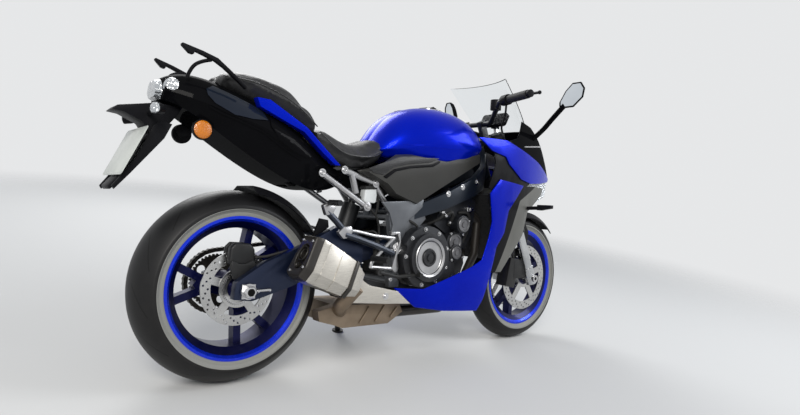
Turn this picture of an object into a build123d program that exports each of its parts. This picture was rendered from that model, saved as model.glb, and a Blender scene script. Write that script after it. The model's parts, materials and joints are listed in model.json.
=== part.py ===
from build123d import *
import os
from math import acos, asin, atan2, cos, degrees, hypot, pi, radians, sin

# A sport touring motorcycle with a half open fairing, parked on its side stand.
# It is laid out upright in millimetres: X forward from the rear axle, Y to the left, Z up from
# the ground. The last section leans the finished machine onto its stand and moves it to its origin,
# the middle of its box on the ground. The rider's right hand is on the -Y side.

# Chassis layout
WHEELBASE = 1460.0
RAKE = 25.0
TRAIL = 100.0
LEAN = 7.5
MOVING_GAP = 5.0
SEAT_GAP = 0.3
RUNNING_GAP = 0.05

# Wheels and tyres
RIM_SEAT_RADIUS = 216.0
RIM_FLANGE = 14.0
RIM_WALL = 6.0
REAR_TYRE_RADIUS = 311.0
REAR_TYRE_HALF = 93.0
REAR_CROWN_RADIUS = 112.0
REAR_RIM_HALF = 76.0
FRONT_TYRE_RADIUS = 300.0
FRONT_TYRE_HALF = 59.0
FRONT_CROWN_RADIUS = 62.0
FRONT_RIM_HALF = 44.0
SPOKE_THICKNESS = 38.0
SPOKE_PAIRS = 3
SPOKE_SPREAD = 17.0
HUB_RADIUS = 44.0

# Brakes
REAR_DISC_RADIUS = 120.0
REAR_DISC_Y = -68.0
FRONT_DISC_RADIUS = 155.0
FRONT_DISC_Y = 66.0
DISC_THICKNESS = 5.0
DISC_HOLE_RADIUS = 3.5

# Axles
REAR_AXLE_RADIUS = 12.5
REAR_AXLE_BORE = 8.5
FRONT_AXLE_RADIUS = 12.0
FRONT_AXLE_BORE = 8.0

# Final drive
CHAIN_Y = 111.0
CHAIN_WIDTH = 18.0
CHAIN_PITCH = 15.875
CHAIN_INSIDE = 6.0
CHAIN_FLATS = 1.5
REAR_SPROCKET_RADIUS = 105.0
FRONT_SPROCKET_RADIUS = 42.0
SPROCKET_THICKNESS = 7.0

# Swingarm and frame
ARM_INNER = 113.0
ARM_THICKNESS = 30.0
LEFT_ARM_INNER = 127.0
PIVOT_X = 574.0
PIVOT_Z = 447.0
FRAME_OUTER = 150.0
FRAME_PLATE = 24.0

# Fork and handlebar
FORK_HALF = 105.0
FORK_OUTER_RADIUS = 27.0
STANCHION_RADIUS = 21.5
HEAD_TUBE_RADIUS = 36.0
HEAD_BORE = 17.0
HANDLEBAR_RADIUS = 11.0
HANDLEBAR_HALF = 400.0
GRIP_RADIUS = 17.0
GRIP_LENGTH = 122.0

# Engine
ENGINE_HALF = 150.0
CYLINDER_HALF = 148.0
CLUTCH_X = 696.0
CLUTCH_Z = 415.0
CLUTCH_RADIUS = 92.0

# Bodywork
PANEL = 5.0
PLATE_WIDTH = 220.0
PLATE_HEIGHT = 160.0

# Side stand
STAND_PIVOT = (524.0, 158.0, 236.0)
STAND_FOOT_X = 640.0
STAND_FOOT_Y = 300.0
STAND_FOOT_RADIUS = 24.0
STAND_LEG_RADIUS = 12.0
STAND_FOLDED = (-0.97, 0.2, 0.1)

# Rider's footrest hangers
HANGER_INNER = 160.0
HANGER_OUTER = 176.0

HEAD_BASE_X = WHEELBASE + TRAIL
FORK_OFFSET = FRONT_TYRE_RADIUS * sin(radians(RAKE)) - TRAIL * cos(radians(RAKE))
AXLE_HEIGHT_ON_FORK = TRAIL * sin(radians(RAKE)) + FRONT_TYRE_RADIUS * cos(radians(RAKE))
HEAD = Plane(
    origin=(HEAD_BASE_X, 0, 0),
    x_dir=(cos(radians(RAKE)), 0, sin(radians(RAKE))),
    z_dir=(-sin(radians(RAKE)), 0, cos(radians(RAKE))),
)


def rod(start, end, radius, bore=0.0):
    """A round bar between two points, or a tube if it has a bore."""
    axis = Vector(*end) - Vector(*start)
    plane = Plane(origin=start, z_dir=axis)
    profile = Circle(radius) - Circle(bore) if bore else Circle(radius)
    return extrude(plane * profile, amount=axis.length)


def bent_bar(points, radii, radius):
    """A round bar along straight runs joined by tangent arcs."""
    path = FilletPolyline(*points, radius=radii)
    return sweep(Plane(origin=path @ 0, z_dir=path % 0) * Circle(radius), path=path)


def side_plate(outline, y_from, y_to, taper=0.0):
    """A plate with its outline in the side view, from one distance across to another."""
    face = make_face(Polyline(*[(x, y_from, z) for x, z in outline], close=True))
    return extrude(face, amount=abs(y_to - y_from), dir=(0, 1 if y_to > y_from else -1, 0), taper=taper)


def block(x_range, y_range, z_range):
    """A box between two values each way."""
    size = [high - low for low, high in (x_range, y_range, z_range)]
    middle = [(high + low) / 2 for low, high in (x_range, y_range, z_range)]
    return Pos(*middle) * Box(*size)


def both_sides(piece):
    """A piece and its mirror image on the other side."""
    return piece + mirror(piece, about=Plane.XZ)


def ring_section(points, centre_x, centre_z):
    """A ring about an axle from pairs of distance across and radius."""
    face = make_face(Polyline(*[(0, y, r) for y, r in points], close=True))
    return Pos(centre_x, 0, centre_z) * revolve(face, Axis.Y, 360)


def disc(radius, y_from, y_to, x, z, bore=0.0):
    """A round plate or ring about a line across the machine."""
    return rod((x, y_from, z), (x, y_to, z), radius, bore)


def crown_section(x, bottom, shoulder, top, half_bottom, half_shoulder):
    """One cross section of a body: flat floor, leaning sides, crowned top."""
    mid_y = 0.76 * half_shoulder
    mid_z = shoulder + 0.74 * (top - shoulder)
    right = ThreePointArc((-half_shoulder, shoulder), (-mid_y, mid_z), (0, top))
    left = ThreePointArc((0, top), (mid_y, mid_z), (half_shoulder, shoulder))
    sides = Polyline(
        (half_shoulder, shoulder), (half_bottom, bottom), (-half_bottom, bottom), (-half_shoulder, shoulder)
    )
    return Plane(origin=(x, 0, 0), x_dir=(0, 1, 0), z_dir=(1, 0, 0)) * make_face(right + left + sides)


def crowned_body(rows):
    """A body lofted through cross sections, one for each row of the table."""
    return loft([crown_section(*row) for row in rows])


def skin(rows, thickness):
    """A curved wall lofted through plan view arcs. A row is a height and three points of the outside."""
    sections = []
    for height, rear, middle, front in rows:
        outside = ThreePointArc(rear, middle, front)
        inner = [(x, y + thickness) for x, y in (rear, middle, front)]
        inside = ThreePointArc(*inner)
        ends = Line(rear, inner[0]) + Line(front, inner[2])
        sections.append(Pos(0, 0, height) * make_face(outside + inside + ends))
    return loft(sections)


def trimmed_skin(rows, outline, thickness):
    """The stretch of a curved wall that lies inside an outline in the side view."""
    widest = 500
    return skin(rows, thickness) & side_plate(outline, -widest, 0)


def tyre(radius, half, crown_radius, rim_half, centre_x):
    """A closed tyre section: faceted crown, sidewalls and beads seated in the rim."""
    crown_facets = 6
    edge = asin(half / crown_radius)
    crown = []
    for step in range(crown_facets + 1):
        turn = edge * (2 * step / crown_facets - 1)
        crown.append((crown_radius * sin(turn), radius - crown_radius + crown_radius * cos(turn)))
    bead = rim_half - SEAT_GAP
    seat = RIM_SEAT_RADIUS + SEAT_GAP
    lip = RIM_SEAT_RADIUS + RIM_FLANGE + 3
    section = [(-bead, seat), (-bead, lip)] + crown + [(bead, lip), (bead, seat)]
    return ring_section(section, centre_x, radius)


def spoke_pair(turn, radius):
    """One forked spoke: a stem from the hub that splits into two arms."""
    split = 0.56 * radius
    arm_half = 12.5
    stem = Polyline((0, -31), (split, -21), (split + 16, 0), (split, 21), (0, 31), close=True)
    profile = make_face(stem)
    for side in (-1, 1):
        spread = radians(SPOKE_SPREAD)
        tip = (radius * cos(spread), side * radius * sin(spread))
        root = (0.7 * split, side * 9.0)
        along = atan2(tip[1] - root[1], tip[0] - root[0])
        across = (-sin(along) * arm_half, cos(along) * arm_half)
        arm = Polyline(
            (root[0] + across[0], root[1] + across[1]),
            (tip[0] + across[0], tip[1] + across[1]),
            (tip[0] - across[0], tip[1] - across[1]),
            (root[0] - across[0], root[1] - across[1]),
            close=True,
        )
        profile += make_face(arm)
    side_view = Plane(origin=(0, 0, 0), x_dir=(1, 0, 0), z_dir=(0, -1, 0))
    spoke = extrude(side_view * (Rot(0, 0, turn) * profile), amount=SPOKE_THICKNESS / 2, both=True)
    return spoke


def cast_wheel(rim_half, hub_half, bore, centre_x, centre_z, first_turn):
    """A cast wheel: rim barrel with its two flanges, forked spokes and a bored hub."""
    flange = RIM_SEAT_RADIUS + RIM_FLANGE
    outer = rim_half + RIM_WALL
    well = RIM_SEAT_RADIUS - 17
    well_half = 0.58 * rim_half
    right_half = [
        (outer, flange), (rim_half, flange), (rim_half, RIM_SEAT_RADIUS),
        (0.80 * rim_half, RIM_SEAT_RADIUS - 2), (well_half, well),
    ]
    inner_half = [
        (well_half + 3, well - 8), (0.84 * rim_half, RIM_SEAT_RADIUS - 11), (outer, flange - 9),
    ]
    section = right_half + [(-y, r) for y, r in reversed(right_half)]
    section += [(-y, r) for y, r in reversed(inner_half)] + inner_half
    barrel = ring_section(section, 0, 0)
    wheel = barrel + disc(HUB_RADIUS, -hub_half, hub_half, 0, 0)
    for number in range(SPOKE_PAIRS):
        wheel += spoke_pair(first_turn + number * 360 / SPOKE_PAIRS, well - 4)
    wheel -= disc(bore + RUNNING_GAP, -hub_half - 1, hub_half + 1, 0, 0)
    return Pos(centre_x, 0, centre_z) * wheel


def drilled_rotor(radius, inner, y, x, z, rows):
    """A brake disc ring with rings of drilled holes."""
    rotor = disc(radius, y - DISC_THICKNESS / 2, y + DISC_THICKNESS / 2, x, z, inner)
    holes = Sketch()
    for ring_radius, count, offset in rows:
        for number in range(count):
            turn = radians(offset + number * 360 / count)
            holes += Pos(ring_radius * cos(turn), ring_radius * sin(turn)) * Circle(DISC_HOLE_RADIUS)
    face = Plane(origin=(x, y, z), x_dir=(1, 0, 0), z_dir=(0, -1, 0))
    return rotor - extrude(face * holes, amount=DISC_THICKNESS, both=True)


def carrier(inner, outer, arms, y, thickness, x, z, width):
    """The arms that carry a brake disc's ring on the hub."""
    arm = Pos((inner + outer) / 2, 0) * Rectangle(outer - inner + 8, width)
    shape = Circle(inner + 4) - Circle(inner - 10)
    for number in range(arms):
        shape += Rot(0, 0, number * 360 / arms + 18) * arm
    shape = shape & Circle(outer)
    face = Plane(origin=(x, y, z), x_dir=(1, 0, 0), z_dir=(0, -1, 0))
    return extrude(face * shape, amount=thickness / 2, both=True)


def loop_point(distance, offset):
    """A point beside the chain's centre line, as far round the loop as the distance."""
    rear = (0.0, REAR_TYRE_RADIUS)
    front = (FRONT_SPROCKET_X, FRONT_SPROCKET_Z)
    span = hypot(front[0] - rear[0], front[1] - rear[1])
    slope = atan2(front[1] - rear[1], front[0] - rear[0])
    open_angle = acos((REAR_SPROCKET_RADIUS - FRONT_SPROCKET_RADIUS) / span)
    top, low = slope + open_angle, slope - open_angle
    run = span * sin(open_angle)
    front_arc = FRONT_SPROCKET_RADIUS * (top - low)
    if distance < run:
        centre_x = REAR_SPROCKET_RADIUS * cos(top) + distance * cos(top - pi / 2)
        centre_z = rear[1] + REAR_SPROCKET_RADIUS * sin(top) + distance * sin(top - pi / 2)
        return (centre_x + offset * cos(top), centre_z + offset * sin(top))
    distance -= run
    if distance < front_arc:
        turn = top - distance / FRONT_SPROCKET_RADIUS
        reach = FRONT_SPROCKET_RADIUS + offset
        return (front[0] + reach * cos(turn), front[1] + reach * sin(turn))
    distance -= front_arc
    if distance < run:
        centre_x = front[0] + FRONT_SPROCKET_RADIUS * cos(low) + distance * cos(low - pi / 2)
        centre_z = front[1] + FRONT_SPROCKET_RADIUS * sin(low) + distance * sin(low - pi / 2)
        return (centre_x + offset * cos(low), centre_z + offset * sin(low))
    turn = low - (distance - run) / REAR_SPROCKET_RADIUS
    reach = REAR_SPROCKET_RADIUS + offset
    return (reach * cos(turn), rear[1] + reach * sin(turn))


def chain_length():
    """The whole length of the chain's centre line."""
    span = hypot(FRONT_SPROCKET_X, FRONT_SPROCKET_Z - REAR_TYRE_RADIUS)
    open_angle = acos((REAR_SPROCKET_RADIUS - FRONT_SPROCKET_RADIUS) / span)
    arcs = FRONT_SPROCKET_RADIUS * 2 * open_angle + REAR_SPROCKET_RADIUS * 2 * (pi - open_angle)
    return 2 * span * sin(open_angle) + arcs


# The front sprocket sits in front of the swingarm's pivot, on the left of the engine
FRONT_SPROCKET_X = PIVOT_X + 81
FRONT_SPROCKET_Z = PIVOT_Z + 10

nodes = {}

# Wheels
REAR_HUB_HALF = 58.0
FRONT_HUB_HALF = 52.0
nodes["rear_rim"] = cast_wheel(REAR_RIM_HALF, REAR_HUB_HALF, REAR_AXLE_RADIUS, 0, REAR_TYRE_RADIUS, 176)
nodes["front_rim"] = cast_wheel(
    FRONT_RIM_HALF, FRONT_HUB_HALF, FRONT_AXLE_RADIUS, WHEELBASE, FRONT_TYRE_RADIUS, 5
)
nodes["rear_tyre"] = tyre(REAR_TYRE_RADIUS, REAR_TYRE_HALF, REAR_CROWN_RADIUS, REAR_RIM_HALF, 0)
nodes["front_tyre"] = tyre(
    FRONT_TYRE_RADIUS, FRONT_TYRE_HALF, FRONT_CROWN_RADIUS, FRONT_RIM_HALF, WHEELBASE
)

# Brake discs. A row of holes is its radius, how many, and its first hole's turn.
REAR_DISC_WIDTH = 32.0
FRONT_DISC_WIDTH = 37.0
rear_rows = [(96, 18, 0), (104, 18, 7), (112, 18, 14)]
rear_inner = REAR_DISC_RADIUS - REAR_DISC_WIDTH
rear_rotor = drilled_rotor(REAR_DISC_RADIUS, rear_inner, REAR_DISC_Y, 0, REAR_TYRE_RADIUS, rear_rows)
rear_rotor += carrier(46, rear_inner + 1, 5, REAR_DISC_Y, DISC_THICKNESS, 0, REAR_TYRE_RADIUS, 26)
rear_rotor += disc(50, REAR_DISC_Y - 6, -REAR_HUB_HALF - SEAT_GAP, 0, REAR_TYRE_RADIUS, 36)
rear_rotor += disc(62, REAR_DISC_Y - 6, REAR_DISC_Y - 3, 0, REAR_TYRE_RADIUS, 36)
nodes["rear_disc"] = rear_rotor
front_rows = [(126, 22, 0), (137, 22, 6), (147, 22, 12)]
front_inner = FRONT_DISC_RADIUS - FRONT_DISC_WIDTH
front_rotor = drilled_rotor(
    FRONT_DISC_RADIUS, front_inner, -FRONT_DISC_Y, WHEELBASE, FRONT_TYRE_RADIUS, front_rows
)
front_rotor += carrier(
    46, front_inner + 1, 5, -FRONT_DISC_Y, DISC_THICKNESS, WHEELBASE, FRONT_TYRE_RADIUS, 30
)
front_rotor += disc(
    50, -FRONT_DISC_Y + 2, -FRONT_HUB_HALF - SEAT_GAP, WHEELBASE, FRONT_TYRE_RADIUS, 36
)
nodes["front_discs"] = both_sides(front_rotor)

# Rear sprocket with its carrier on the hub, and the chain's fixed loop. The loop is drawn in flats, which
# come nearer to the teeth than its arc does.
SPROCKET_TIP = REAR_SPROCKET_RADIUS - CHAIN_INSIDE - CHAIN_FLATS - MOVING_GAP
teeth = 42
tooth_points = []
for number in range(teeth):
    for share, reach in ((0.0, SPROCKET_TIP - 7), (0.35, SPROCKET_TIP), (0.65, SPROCKET_TIP)):
        turn = 2 * pi * (number + share) / teeth
        tooth_points.append((reach * cos(turn), REAR_TYRE_RADIUS + reach * sin(turn)))
half_tooth = SPROCKET_THICKNESS / 2
sprocket = side_plate(tooth_points, CHAIN_Y - half_tooth, CHAIN_Y + half_tooth)
for number in range(5):
    turn = 2 * pi * number / 5
    sprocket -= disc(
        15, CHAIN_Y - 10, CHAIN_Y + 10, 66 * cos(turn), REAR_TYRE_RADIUS + 66 * sin(turn)
    )
sprocket += disc(46, REAR_HUB_HALF + SEAT_GAP, CHAIN_Y, 0, REAR_TYRE_RADIUS)
sprocket -= disc(REAR_AXLE_RADIUS + 6, 0, CHAIN_Y + 10, 0, REAR_TYRE_RADIUS)
nodes["rear_sprocket"] = sprocket

links = round(chain_length() / CHAIN_PITCH)
step = chain_length() / links
outer = []
for number in range(links):
    outer.append(loop_point(number * step, 8.5))
    outer.append(loop_point((number + 0.5) * step, 6.0))
inner = [loop_point(number * step * 2, -CHAIN_INSIDE) for number in range(links // 2)]
band_low, band_high = CHAIN_Y - CHAIN_WIDTH / 2, CHAIN_Y + CHAIN_WIDTH / 2
nodes["chain"] = side_plate(outer, band_low, band_high) - side_plate(inner, band_low - 1, band_high + 1)

# Rear axle with its nuts, spacers and chain adjusters
arm_outer = ARM_INNER + ARM_THICKNESS
left_outer = LEFT_ARM_INNER + ARM_THICKNESS - 4
axle = disc(REAR_AXLE_RADIUS, -arm_outer - 6, left_outer + 6, 0, REAR_TYRE_RADIUS)
axle += disc(18, -ARM_INNER + SEAT_GAP, -REAR_HUB_HALF - 1, 0, REAR_TYRE_RADIUS)
axle += disc(17, REAR_HUB_HALF + 1, LEFT_ARM_INNER - SEAT_GAP, 0, REAR_TYRE_RADIUS)
for y_from, y_to in ((-arm_outer - 10, -arm_outer - SEAT_GAP), (left_outer + SEAT_GAP, left_outer + 10)):
    axle += Pos(0, (y_from + y_to) / 2, REAR_TYRE_RADIUS) * Box(44, y_to - y_from, 44)
nut_plane = Plane(origin=(0, -arm_outer - 10, REAR_TYRE_RADIUS), x_dir=(1, 0, 0), z_dir=(0, -1, 0))
axle += extrude(nut_plane * RegularPolygon(18, 6), amount=12)
axle += rod((22, -arm_outer - 5, REAR_TYRE_RADIUS), (70, -arm_outer - 5, REAR_TYRE_RADIUS + 2), 4)
axle += rod((22, left_outer + 5, REAR_TYRE_RADIUS), (70, left_outer + 5, REAR_TYRE_RADIUS + 2), 4)
axle -= disc(REAR_AXLE_BORE, -300, 300, 0, REAR_TYRE_RADIUS)
nodes["rear_axle"] = axle

# Swingarm: two side arms, a cross member inside the chain's loop, and two legs to the pivot
right_outline = [
    (-42, 286), (18, 279), (153, 320), (303, 384), (430, 372), (430, 470), (386, 507),
    (321, 521), (188, 453), (54, 398), (-36, 338),
]
left_outline = [(-42, 286), (18, 279), (153, 320), (300, 360), (430, 368), (430, 438), (300, 436),
                (150, 400), (54, 376), (-36, 338)]
arm = side_plate(right_outline, -ARM_INNER, -arm_outer)
arm += side_plate(left_outline, LEFT_ARM_INNER, left_outer)
arm += block((338, 430), (-ARM_INNER - 1, LEFT_ARM_INNER + 1), (368, 438))
leg_outline = [(400, 372), (560, 418), (600, 430), (600, 464), (560, 474), (400, 438)]
for y_from, y_to in ((-96, -62), (62, 96)):
    arm += side_plate(leg_outline, y_from, y_to)
arm += disc(24, -96, 96, PIVOT_X, PIVOT_Z)
arm -= disc(10 + RUNNING_GAP, -100, 100, PIVOT_X, PIVOT_Z)
arm -= disc(REAR_AXLE_RADIUS + SEAT_GAP, -300, 300, 0, REAR_TYRE_RADIUS)
nodes["swingarm"] = arm

# Rear shock: coil-over unit between the cross member and the frame
shock = rod((414.2, 0, 442.7), (480.4, 0, 641.3), 14) + rod((432, 0, 478), (470, 0, 600), 34)
nodes["rear_shock"] = shock

# Rear caliper on its bracket behind the right arm
caliper = block((-46, 40), (-104, -44), (REAR_TYRE_RADIUS + 68, REAR_TYRE_RADIUS + 146))
caliper -= disc(
    REAR_DISC_RADIUS + MOVING_GAP, REAR_DISC_Y - 3 - MOVING_GAP, REAR_DISC_Y + 3 + MOVING_GAP,
    0, REAR_TYRE_RADIUS,
)
bracket = side_plate([(-34, 340), (24, 340), (44, 388), (10, 410), (-40, 400)], -ARM_INNER + SEAT_GAP, -98)
bracket -= disc(24, -200, 0, 0, REAR_TYRE_RADIUS)
bracket += disc(24, -ARM_INNER + SEAT_GAP, -98, 0, REAR_TYRE_RADIUS + 44)
nodes["rear_caliper"] = caliper + bracket

# Hugger over the front of the rear tyre, held by both arms
hugger_gap = 14.0
hugger_inner = REAR_TYRE_RADIUS + hugger_gap
side_edge = REAR_TYRE_HALF + 9
hugger_ring = ring_section(
    [(-side_edge, hugger_inner - 22), (-60, hugger_inner + 2), (60, hugger_inner + 2),
     (side_edge, hugger_inner - 22), (side_edge + 4, hugger_inner - 20), (62, hugger_inner + 6),
     (-62, hugger_inner + 6), (-side_edge - 4, hugger_inner - 20)],
    0, REAR_TYRE_RADIUS,
)
reach = 460
sector = [(0, REAR_TYRE_RADIUS)] + [
    (reach * cos(radians(turn)), REAR_TYRE_RADIUS + reach * sin(radians(turn))) for turn in (33, 58, 84)
]
hugger = hugger_ring & side_plate(sector, -200, 200)
ear = [(236, 470), (300, 515), (296, 540), (262, 545)]
hugger += side_plate(ear, -side_edge - 4, -side_edge - 14)
nodes["rear_hugger"] = hugger - nodes["swingarm"]

# Main frame: two beams from the steering head, their pivot plates and cross tubes
head_low, head_high = 842.0, 992.0
head_middle = (head_low + head_high) / 2
head_tube = HEAD * (Pos(0, 0, head_middle) * Cylinder(HEAD_TUBE_RADIUS, head_high - head_low))
HEAD_TUBE_X = HEAD_BASE_X - head_middle * sin(radians(RAKE))
beam_reach = HEAD_TUBE_X - PIVOT_X
beam_rows = [
    # share of the way from the pivot to the head, low z, high z, inner y, outer y
    (1.0, 772, 868, 10, 40),
    (0.813, 700, 800, 108, 136),
    (0.645, 664, 742, 152, 180),
    (0.378, 604, 668, 156, 182),
    (0.144, 556, 606, 126, 150),
]
frame = head_tube
sections = []
for share, low, high, inner_y, outer_y in beam_rows:
    plane = Plane(origin=(PIVOT_X + share * beam_reach, 0, 0), x_dir=(0, 1, 0), z_dir=(1, 0, 0))
    corners = [(-outer_y, low), (-inner_y, low), (-inner_y, high), (-outer_y, high)]
    sections.append(plane * make_face(Polyline(*corners, close=True)))
beam = loft(sections, ruled=True)
pivot_plate = [
    (700, 606), (560, 590), (536, 566), (556, 470), (540, 392), (556, 300), (600, 300),
    (606, 392), (628, 470), (720, 560),
]
beam += side_plate(pivot_plate, -FRAME_OUTER, -FRAME_OUTER + FRAME_PLATE)
frame += both_sides(beam)
frame += disc(16, -FRAME_OUTER + 10, FRAME_OUTER - 10, 575, 560)
frame += disc(14, -FRAME_OUTER + 10, FRAME_OUTER - 10, 580, 320)
frame += block((462, 560), (-20, 20), (646, 662)) + disc(10, -FRAME_OUTER + 10, FRAME_OUTER - 10, 556, 585)
frame += block((540, 572), (-20, 20), (560, 662))
frame -= HEAD * (Pos(0, 0, 917) * Cylinder(HEAD_BORE, 400))
frame -= disc(10 + RUNNING_GAP, -300, 300, PIVOT_X, PIVOT_Z)
nodes["main_frame"] = frame
pivot_bolt = disc(10, -FRAME_OUTER - 4, FRAME_OUTER + 4, PIVOT_X, PIVOT_Z)
for side in (-1, 1):
    pivot_bolt += disc(20, side * (FRAME_OUTER + SEAT_GAP), side * (FRAME_OUTER + 8), PIVOT_X, PIVOT_Z)
    pivot_bolt += disc(18, side * 97, side * (FRAME_OUTER - FRAME_PLATE - SEAT_GAP), PIVOT_X, PIVOT_Z)
nodes["rear_axle"] += pivot_bolt

# Engine: crankcase, leaning cylinders with their head, and a sump
case_outline = [
    (612, 300), (612, 440), (660, 520), (760, 545), (950, 500), (975, 380), (930, 270), (660, 250),
]
engine = side_plate(case_outline, -ENGINE_HALF + 28, ENGINE_HALF - 28)
cylinder_outline = [(770, 540), (838, 690), (975, 660), (1002, 640), (985, 500), (950, 440)]
engine += side_plate(cylinder_outline, -CYLINDER_HALF, CYLINDER_HALF)
engine += block((660, 900), (-80, 80), (212, 262))
engine -= side_plate([(590, 350), (590, 560), (722, 560), (722, 380)], 97, 140)
nodes["engine_block"] = engine

# Engine covers: clutch with its bright ring, starter and small covers on the right, alternator on the left
case_side = -ENGINE_HALF + 28 - SEAT_GAP
clutch = disc(118, case_side, -196, CLUTCH_X, CLUTCH_Z)
clutch += disc(CLUTCH_RADIUS, -196, -214, CLUTCH_X, CLUTCH_Z)
clutch -= disc(62, -206, -220, CLUTCH_X, CLUTCH_Z)
clutch += disc(28, -200, -212, CLUTCH_X, CLUTCH_Z)
clutch -= disc(12, -208, -214, CLUTCH_X, CLUTCH_Z)
covers = clutch
covers += disc(52, case_side, -176, 812, 372) + disc(46, case_side, -170, 868, 470)
covers += disc(34, -170, -180, 868, 430) + disc(36, -CYLINDER_HALF - SEAT_GAP, -198, 884, 545)
left_side = ENGINE_HALF - 28 + SEAT_GAP
covers += disc(96, left_side, 190, 770, 400) + disc(70, 190, 204, 770, 400)
sprocket_cover = side_plate(
    [(600, 400), (600, 520), (670, 560), (720, 520), (720, 380), (640, 360)], left_side + 12, 158
)
sprocket_cover += side_plate([(690, 520), (720, 520), (720, 380), (690, 380)], left_side, left_side + 13)
covers += sprocket_cover
covers += disc(FRONT_SPROCKET_RADIUS - 9, 97 + SEAT_GAP, CHAIN_Y + 4, FRONT_SPROCKET_X, FRONT_SPROCKET_Z)
covers -= disc(21, -ENGINE_HALF - 50, -ENGINE_HALF + 30, PIVOT_X, PIVOT_Z)
nodes["engine_covers"] = covers - nodes["main_frame"] - nodes["engine_block"]

# Exhaust: four header pipes, the chamber under the engine, the link pipe, muffler and shield
pipes = Part()
for y in (-120, -40, 40, 120):
    inward = y * 0.55
    pipes += bent_bar(
        [(985, y, 604), (1046, y, 562), (1040, y, 420), (1000, inward, 250), (900, inward, 186),
         (580, inward, 186)],
        (22, 60, 60, 40), 18,
    )
chamber = side_plate([(330, 246), (612, 238), (628, 205), (560, 166), (356, 166), (330, 176)], -148, 70)
chamber += side_plate([(255, 230), (331, 246), (331, 176), (262, 196)], -148, -REAR_TYRE_HALF - 14)
link = bent_bar([(356, -120, 218), (330, -168, 250), (372, -205, 318)], (20,), 26)


def muffler_section(distance, height, width, point):
    """A section of the muffler across its own axis: a rounded five sided shape."""
    plane = Plane(origin=point, x_dir=(0, 1, 0), z_dir=(-0.906, 0, 0.423))
    half_w, half_h = width / 2, height / 2
    corners = [(half_w, half_h * 0.85), (half_w * 0.55, half_h), (-half_w * 0.7, half_h * 0.95),
               (-half_w, half_h * 0.45), (-half_w * 0.75, -half_h), (half_w * 0.8, -half_h)]
    return plane * Pos(0, 0, distance) * make_face(Polyline(*corners, close=True))


MUFFLER_REAR = (196.0, -212.0, 402.0)
body = loft([
    muffler_section(-178, 84, 70, MUFFLER_REAR), muffler_section(-120, 128, 102, MUFFLER_REAR),
    muffler_section(0, 148, 108, MUFFLER_REAR),
], ruled=True)
cap = loft([
    muffler_section(SEAT_GAP, 150, 110, MUFFLER_REAR), muffler_section(58, 140, 100, MUFFLER_REAR),
], ruled=True)
outlet = Plane(origin=MUFFLER_REAR, x_dir=(0, 1, 0), z_dir=(-0.906, 0, 0.423))
cap -= extrude(outlet * Pos(2, 14, 20) * Ellipse(26, 36), amount=60)
cap += extrude(outlet * Pos(2, 14, 20) * (Circle(20) - Circle(16)), amount=34)
nodes["muffler_cap"] = cap
shield = side_plate(
    [(352, 262), (345, 330), (362, 388), (384, 392), (402, 336), (430, 318), (560, 292), (624, 243),
     (500, 250)],
    -196, -186,
)
exhaust = chamber + link - body
nodes["exhaust_chamber"] = exhaust
nodes["muffler"] = body + (shield - body - exhaust)

# Radiator with its fan housing behind the front wheel
radiator_face = Plane(origin=(1096, 0, 540), x_dir=(0, 1, 0), z_dir=(0.966, 0, 0.259))
radiator = extrude(radiator_face * Rectangle(350, 290), amount=16, both=True)
radiator += both_sides(block((1048, 1068), (-132, -112), (672, 712)))
nodes["radiator"] = radiator - nodes["main_frame"]

# Fuel tank. Rows: x, floor z, shoulder z, top z, half width at the floor and at the shoulder.
tank_rows = [
    (520, 792, 812, 836, 60, 88),
    (610, 784, 828, 950, 112, 134),
    (720, 776, 838, 1003, 140, 166),
    (840, 772, 842, 1013, 150, 180),
    (950, 790, 852, 992, 146, 176),
    (1020, 820, 866, 952, 120, 148),
    (1052, 850, 880, 915, 80, 108),
]
CAP_X = 835.0
CAP_RADIUS = 46.0
CAP_TOP = 1014.0
CAP_HINGE_X = CAP_X + CAP_RADIUS + 4
CAP_HINGE_Z = CAP_TOP + 7
CAP_PIN = 2.0
tank = crowned_body(tank_rows)
tank -= Pos(CAP_X, 0, CAP_TOP + 20) * Cylinder(CAP_RADIUS + 16, 50)
tank -= Pos(CAP_X, 0, CAP_TOP - 45) * Cylinder(26, 80)
nodes["fuel_tank"] = tank
ring = Pos(CAP_X, 0, CAP_TOP - 2 + SEAT_GAP) * (
    Cylinder(CAP_RADIUS + 14, 6) - Cylinder(CAP_RADIUS + 0.8, 8)
)
ring += Pos(CAP_X, 0, CAP_TOP - 3) * (Cylinder(CAP_RADIUS + 2, 2) - Cylinder(26, 4))
for side in (-1, 1):
    ring += block(
        (CAP_HINGE_X - 4, CAP_HINGE_X + 4), sorted((side * 10, side * 14)), (CAP_TOP - 2, CAP_HINGE_Z + 4)
    )
ring += disc(CAP_PIN, -14, 14, CAP_HINGE_X, CAP_HINGE_Z)
nodes["filler_ring"] = ring
lid = Pos(CAP_X, 0, CAP_TOP + 1 + SEAT_GAP) * Cylinder(CAP_RADIUS, 6)
lid += block((CAP_HINGE_X - 22, CAP_HINGE_X), (-9, 9), (CAP_TOP + 3, CAP_HINGE_Z))
lid += disc(2 * CAP_PIN, -9, 9, CAP_HINGE_X, CAP_HINGE_Z)
lid -= disc(CAP_PIN + RUNNING_GAP, -20, 20, CAP_HINGE_X, CAP_HINGE_Z)
nodes["fuel_cap"] = lid

# Covers below the tank, on both sides
cover_outline = [
    (406, 713), (508, 673), (549, 639), (658, 607), (1007, 801), (1000, 850), (930, 835), (804, 800),
    (640, 806), (568, 796), (486, 742), (395, 722),
]
cover = side_plate(cover_outline, -FRAME_OUTER + 22, -FRAME_OUTER - 16, taper=14)
nodes["tank_side_covers"] = both_sides(cover - nodes["fuel_tank"] - nodes["main_frame"])

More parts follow.
